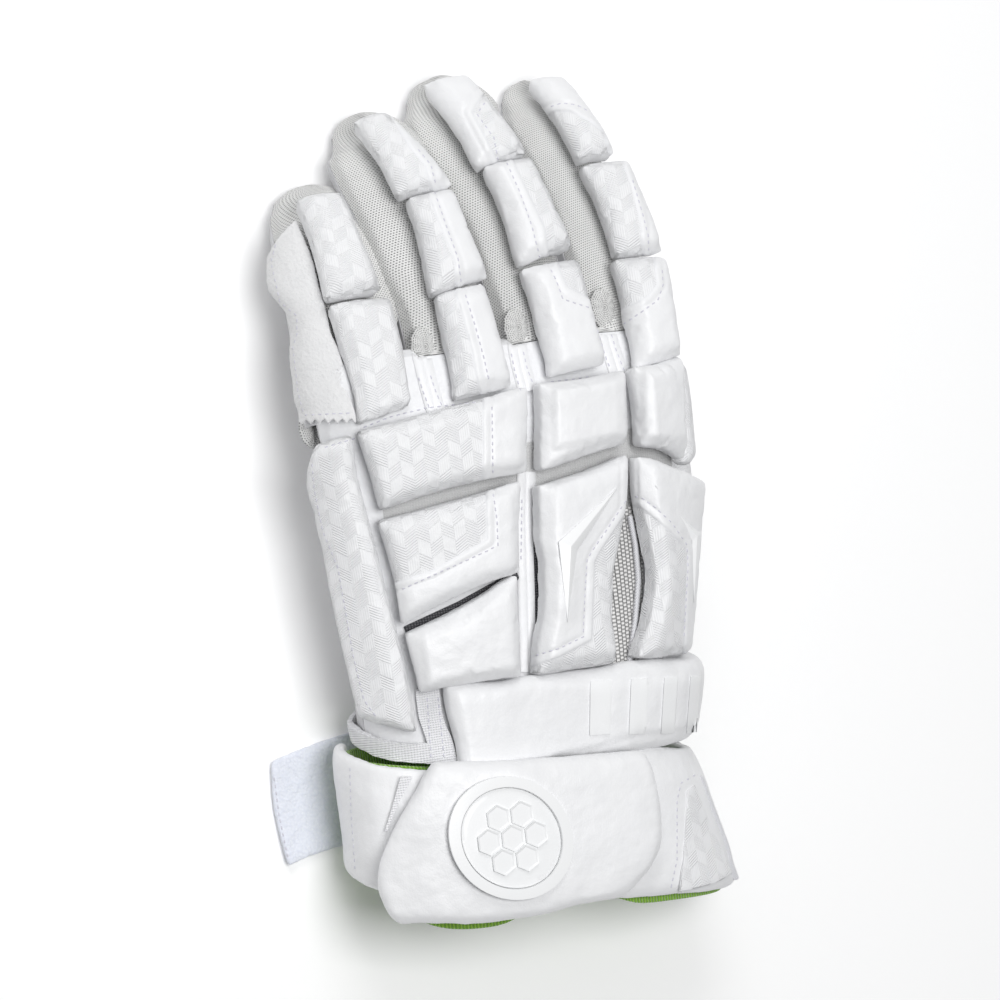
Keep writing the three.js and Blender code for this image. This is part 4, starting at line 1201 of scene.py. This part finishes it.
# The badge's own relief, on its disc, is a plain honeycomb of seven raised cells.
points = points_of(badge)
centre = points.mean(axis=0)
thin_way = np.linalg.svd((points - centre) / MM, full_matrices=False)[2][2]
out = Vector(thin_way * np.sign(thin_way @ np.array(away)))
up = (lengthwise - out * lengthwise.dot(out)).normalized()
right = up.cross(out)
front = max((Vector(point) - Vector(centre)).dot(out) for point in points)
bpy.ops.object.select_all(action="DESELECT")
bpy.ops.mesh.primitive_cylinder_add(vertices=6, radius=CELL_RADIUS * MM, depth=CELL_HEIGHT * MM)
cell = bpy.context.object
hold_faces(cell, (0, 0, 1))
bpy.ops.mesh.inset(thickness=CELL_RIM * MM)
bpy.ops.transform.translate(value=(0, 0, -CELL_HOLLOW * CELL_HEIGHT * MM))
bpy.ops.object.mode_set(mode="OBJECT")
bevel(cell, width=0.12 * MM, angle=35)
cells = [cell]
for sixth in range(6):
    turn = math.radians(60 * sixth)
    copy = bpy.data.objects.new("cell", cell.data.copy())
    bpy.context.scene.collection.objects.link(copy)
    step = (math.cos(turn) * CELL_STEP * MM, math.sin(turn) * CELL_STEP * MM, 0)
    copy.data.transform(Matrix.Translation(step))
    cells.append(copy)
relief = join(cells, "badge_relief")
facing = Matrix((right, up, out)).transposed().to_4x4()
face_of_disc = Vector(centre) + out * (front + CELL_MIDDLE * CELL_HEIGHT * MM)
relief.data.transform(Matrix.Translation(face_of_disc) @ facing)
dress(relief, moulded_rubber, angle=math.radians(30))

for node, finish, slot in (
    ("cuff_inset", leather, "white_leather"),
    ("cuff_piping", silver_piping, "silver_knit"),
    ("wing_mesh", elastic, "elastic_webbing"),
    ("cuff_palm_panel", palm_leather, "palm_leather"),
    ("closure_tab", loop_fabric, "loop_fabric"),
):
    piece = smooth_copy(node, "_sewn", crease=0.7, levels=3 if node == "cuff_inset" else 2)
    if node == "cuff_inset":
        pull(piece, INSET_PULLS)
        lay_leather(piece)
    if node == "cuff_piping":
        pull(piece, PIPING_PULLS)
    if node == "closure_tab":
        apply(piece, "REMESH", mode="VOXEL", voxel_size=0.8 * MM)
        apply(piece, "SMOOTH", factor=0.5, iterations=6)
        pull(piece, TAB_PULLS, reach=30.0)
        crumple(piece, 4 * MM, 0.5 * MM)
    sew_on(piece, node, finish)
    pads[node] = piece


# The strips and puckers. Narrow white leather strips cover the seams of the back between the
# fingers and between the pads. Above each, the mesh between two fingers is gathered into a small
# round pucker, and one more is gathered under the suede patch.
STRIP_WIDTH = 18
STRIP_RISE = 0.9
STRIP_SEAM = 0.7
STRIPS = {
    "strip_by_pinky": [(420, 350), (428, 384), (437, 416)],
    "strip_by_ring": [(514, 332), (520, 364), (528, 394)],
    "strip_by_middle": [(601, 310), (609, 344), (619, 376)],
    "strip_of_hand": [(526, 470), (525, 520), (527, 590), (529, 675)],
}
PUCKERS = {
    "pucker_by_pinky": (423, 347),
    "pucker_by_ring": (516, 328),
    "pucker_by_middle": (602, 308),
    "gusset_by_patch": (312, 428),
}
PUCKER_SIZE = Vector((5.2, 7.6, 3.2)) * MM
PUCKER_PLEATS = 11
PLEAT_HEIGHT = 0.12
GATHER_DEPTH = 0.4
GATHER_WIDTH = 0.14
PUCKER_KNIT = (7.0, 9.0)

for name, line in STRIPS.items():
    piece = ribbon(name, line, STRIP_WIDTH, STRIP_RISE, seam=STRIP_SEAM)
    lay_leather(piece, embossed=False)
    dress(piece, leather)
    pads[name] = piece

fingers_and_hand = skin(fabrics.values())
for name, pixel in PUCKERS.items():
    hit = seen(fingers_and_hand, pixel)[0]
    bpy.ops.object.select_all(action="DESELECT")
    bpy.ops.mesh.primitive_uv_sphere_add(segments=72, ring_count=36, radius=1)
    piece = bpy.context.object
    piece.name = name
    points = points_of(piece)
    turn = np.arctan2(points[:, 1], points[:, 0])
    out = np.hypot(points[:, 0], points[:, 1])
    pleats = PLEAT_HEIGHT * out * np.cos(PUCKER_PLEATS * turn)
    gather = GATHER_DEPTH * np.exp(-((points[:, 0] / GATHER_WIDTH) ** 2))
    points[:, 2] += (pleats - gather) * (points[:, 2] > 0)
    move_points(piece, points * np.array(PUCKER_SIZE) + np.array(hit))
    knit_at = [turn * PUCKER_KNIT[0], out * PUCKER_KNIT[1], 0 * turn]
    keep_vectors(piece, "knit", np.stack(knit_at, axis=1))
    dress(piece, air_mesh, angle=math.radians(80))


# The topstitching. Heavy white thread in short stitches that lie in the leather a few millimetres
# inside each seam. Its colour is darkened and tinted faint lavender as painted shade of the stitch
# holes.
# White thread darkened and tinted lavender: painted shade of the stitch holes.
HOLE_SHADED_THREAD = (0.74, 0.735, 0.80, 1)
THREAD_SHADE = (0.62, 0.61, 0.70, 1)
THREAD_TWIST = 0.5 * MM
THREAD_THICKNESS = 0.62 * MM
STITCH_LENGTH = 1.75 * MM
STITCH_STEP = 7.0
STITCH_SINK = 0.08 * MM
STITCH_STRAIGHT = 0.6
STITCH_END = 0.2
STITCH_DROP = 0.35
STITCH_AHEAD = 2
LONGEST_STEP = 3 * MM
STITCHES = {
    "finger_stitches": [
        [(417, 148), (431, 165), (436, 185)],
        [(434, 190), (445, 222), (458, 258), (462, 288)],
        [(465, 293), (475, 325), (484, 358), (489, 380)],
        [(486, 101), (477, 114), (494, 138), (498, 160)],
        [(506, 161), (519, 190), (532, 226), (541, 262)],
        [(550, 268), (556, 280), (563, 299), (575, 303), (594, 309)],
        [(549, 107), (562, 103), (577, 105), (592, 113), (603, 124)],
        [(632, 178), (643, 215), (648, 235), (649, 253)],
        [(662, 268), (663, 285), (658, 300), (640, 313), (622, 325), (613, 331)],
    ],
    "hand_stitches": [
        [(492, 405), (493, 478)],
        [(493, 492), (497, 520), (498, 545), (487, 551), (396, 592)],
        [(627, 499), (608, 528), (592, 551), (587, 560), (585, 590), (583, 637), (560, 648),
         (537, 655)],
        [(633, 496), (642, 498), (655, 507), (672, 523), (687, 545), (688, 567), (684, 635)],
        [(323, 448), (356, 438)],
        [(312, 462), (314, 488), (323, 532), (338, 568), (353, 655), (364, 700), (377, 718)],
        [(522, 498), (521, 560)],
    ],
    "row_stitches": [
        [(362, 428), (390, 417), (426, 408), (478, 402)],
        [(549, 382), (575, 379), (600, 375)],
    ],
    "strip_stitches": [
        [(418, 376), (424, 394), (431, 412)],
        [(430, 374), (436, 392), (443, 408)],
        [(511, 352), (515, 372), (521, 392)],
        [(523, 350), (527, 368), (533, 384)],
        [(597, 328), (604, 352), (612, 374)],
        [(609, 326), (616, 350), (624, 370)],
    ],
    "suede_stitches": [
        [(278, 236), (271, 262), (280, 302), (297, 316), (297, 334), (293, 347), (298, 392),
         (304, 415), (350, 413)],
    ],
    "webbing_stitches": [
        [(427, 696), (431, 758)],
        [(438, 696), (444, 758)],
    ],
    "cuff_stitches": [
        [(350, 766), (351, 810), (355, 868)],
        [(697, 774), (681, 783), (677, 800), (677, 860), (670, 892)],
    ],
    "tab_stitches": [
        [(274, 776), (279, 815), (288, 858)],
    ],
}

thread = Finish("sewing_thread", roughness=0.6, Sheen_Weight=0.3)
where = thread.place()
twist = (thread.split(where, "X") + thread.split(where, "Y")).ribs(THREAD_TWIST)
# Painted shade: the thread's colour carries the darker lavender shade of its stitch holes.
thread.colour(twist, HOLE_SHADED_THREAD, THREAD_SHADE)
thread.relief(twist, depth=0.08 * MM)

bpy.ops.object.select_all(action="DESELECT")
bpy.ops.mesh.primitive_cylinder_add(
    vertices=6, radius=0.5 * THREAD_THICKNESS, depth=STITCH_STRAIGHT * STITCH_LENGTH,
    rotation=(0, 0.5 * math.pi, 0),
)
one_stitch = bpy.context.object
bpy.ops.object.transform_apply(location=True, rotation=True, scale=True)
for end in (-1, 1):
    hold_faces(one_stitch, (end, 0, 0))
    outwards = (end * STITCH_END * STITCH_LENGTH, 0, -STITCH_DROP * THREAD_THICKNESS)
    bpy.ops.mesh.extrude_region_move(TRANSFORM_OT_translate={"value": outwards})
    bpy.ops.transform.resize(value=(1, 0.5, 0.5))
    bpy.ops.object.mode_set(mode="OBJECT")

cover = skin([*pads.values(), fabrics["hand_back"]])
for name, lines in STITCHES.items():
    copies = []
    for line in lines:
        for at, way in along(line, STITCH_STEP):
            hit, normal = seen(cover, at)
            ahead = seen(cover, at + way * STITCH_AHEAD)[0]
            if hit is None or ahead is None or (ahead - hit).length > LONGEST_STEP:
                continue
            run = (ahead - hit).normalized()
            side = normal.cross(run).normalized()
            up = run.cross(side)
            stitch = bpy.data.objects.new("stitch", one_stitch.data.copy())
            bpy.context.scene.collection.objects.link(stitch)
            turn = Matrix((run, side, up)).transposed().to_4x4()
            stitch.data.transform(Matrix.Translation(hit - normal * STITCH_SINK) @ turn)
            copies.append(stitch)
    dress(join(copies, name), thread, angle=math.pi)
bpy.data.objects.remove(one_stitch)


# The rest on the table. The glove's own weight presses flat whatever would reach below the table
# top, so every piece stops at its height.
for piece in bpy.data.objects:
    if piece.type == "MESH" and piece.name not in frame["nodes"] and piece is not floor:
        points = points_of(piece)
        points[:, 2] = np.maximum(points[:, 2], cad_low.z)
        move_points(piece, points)
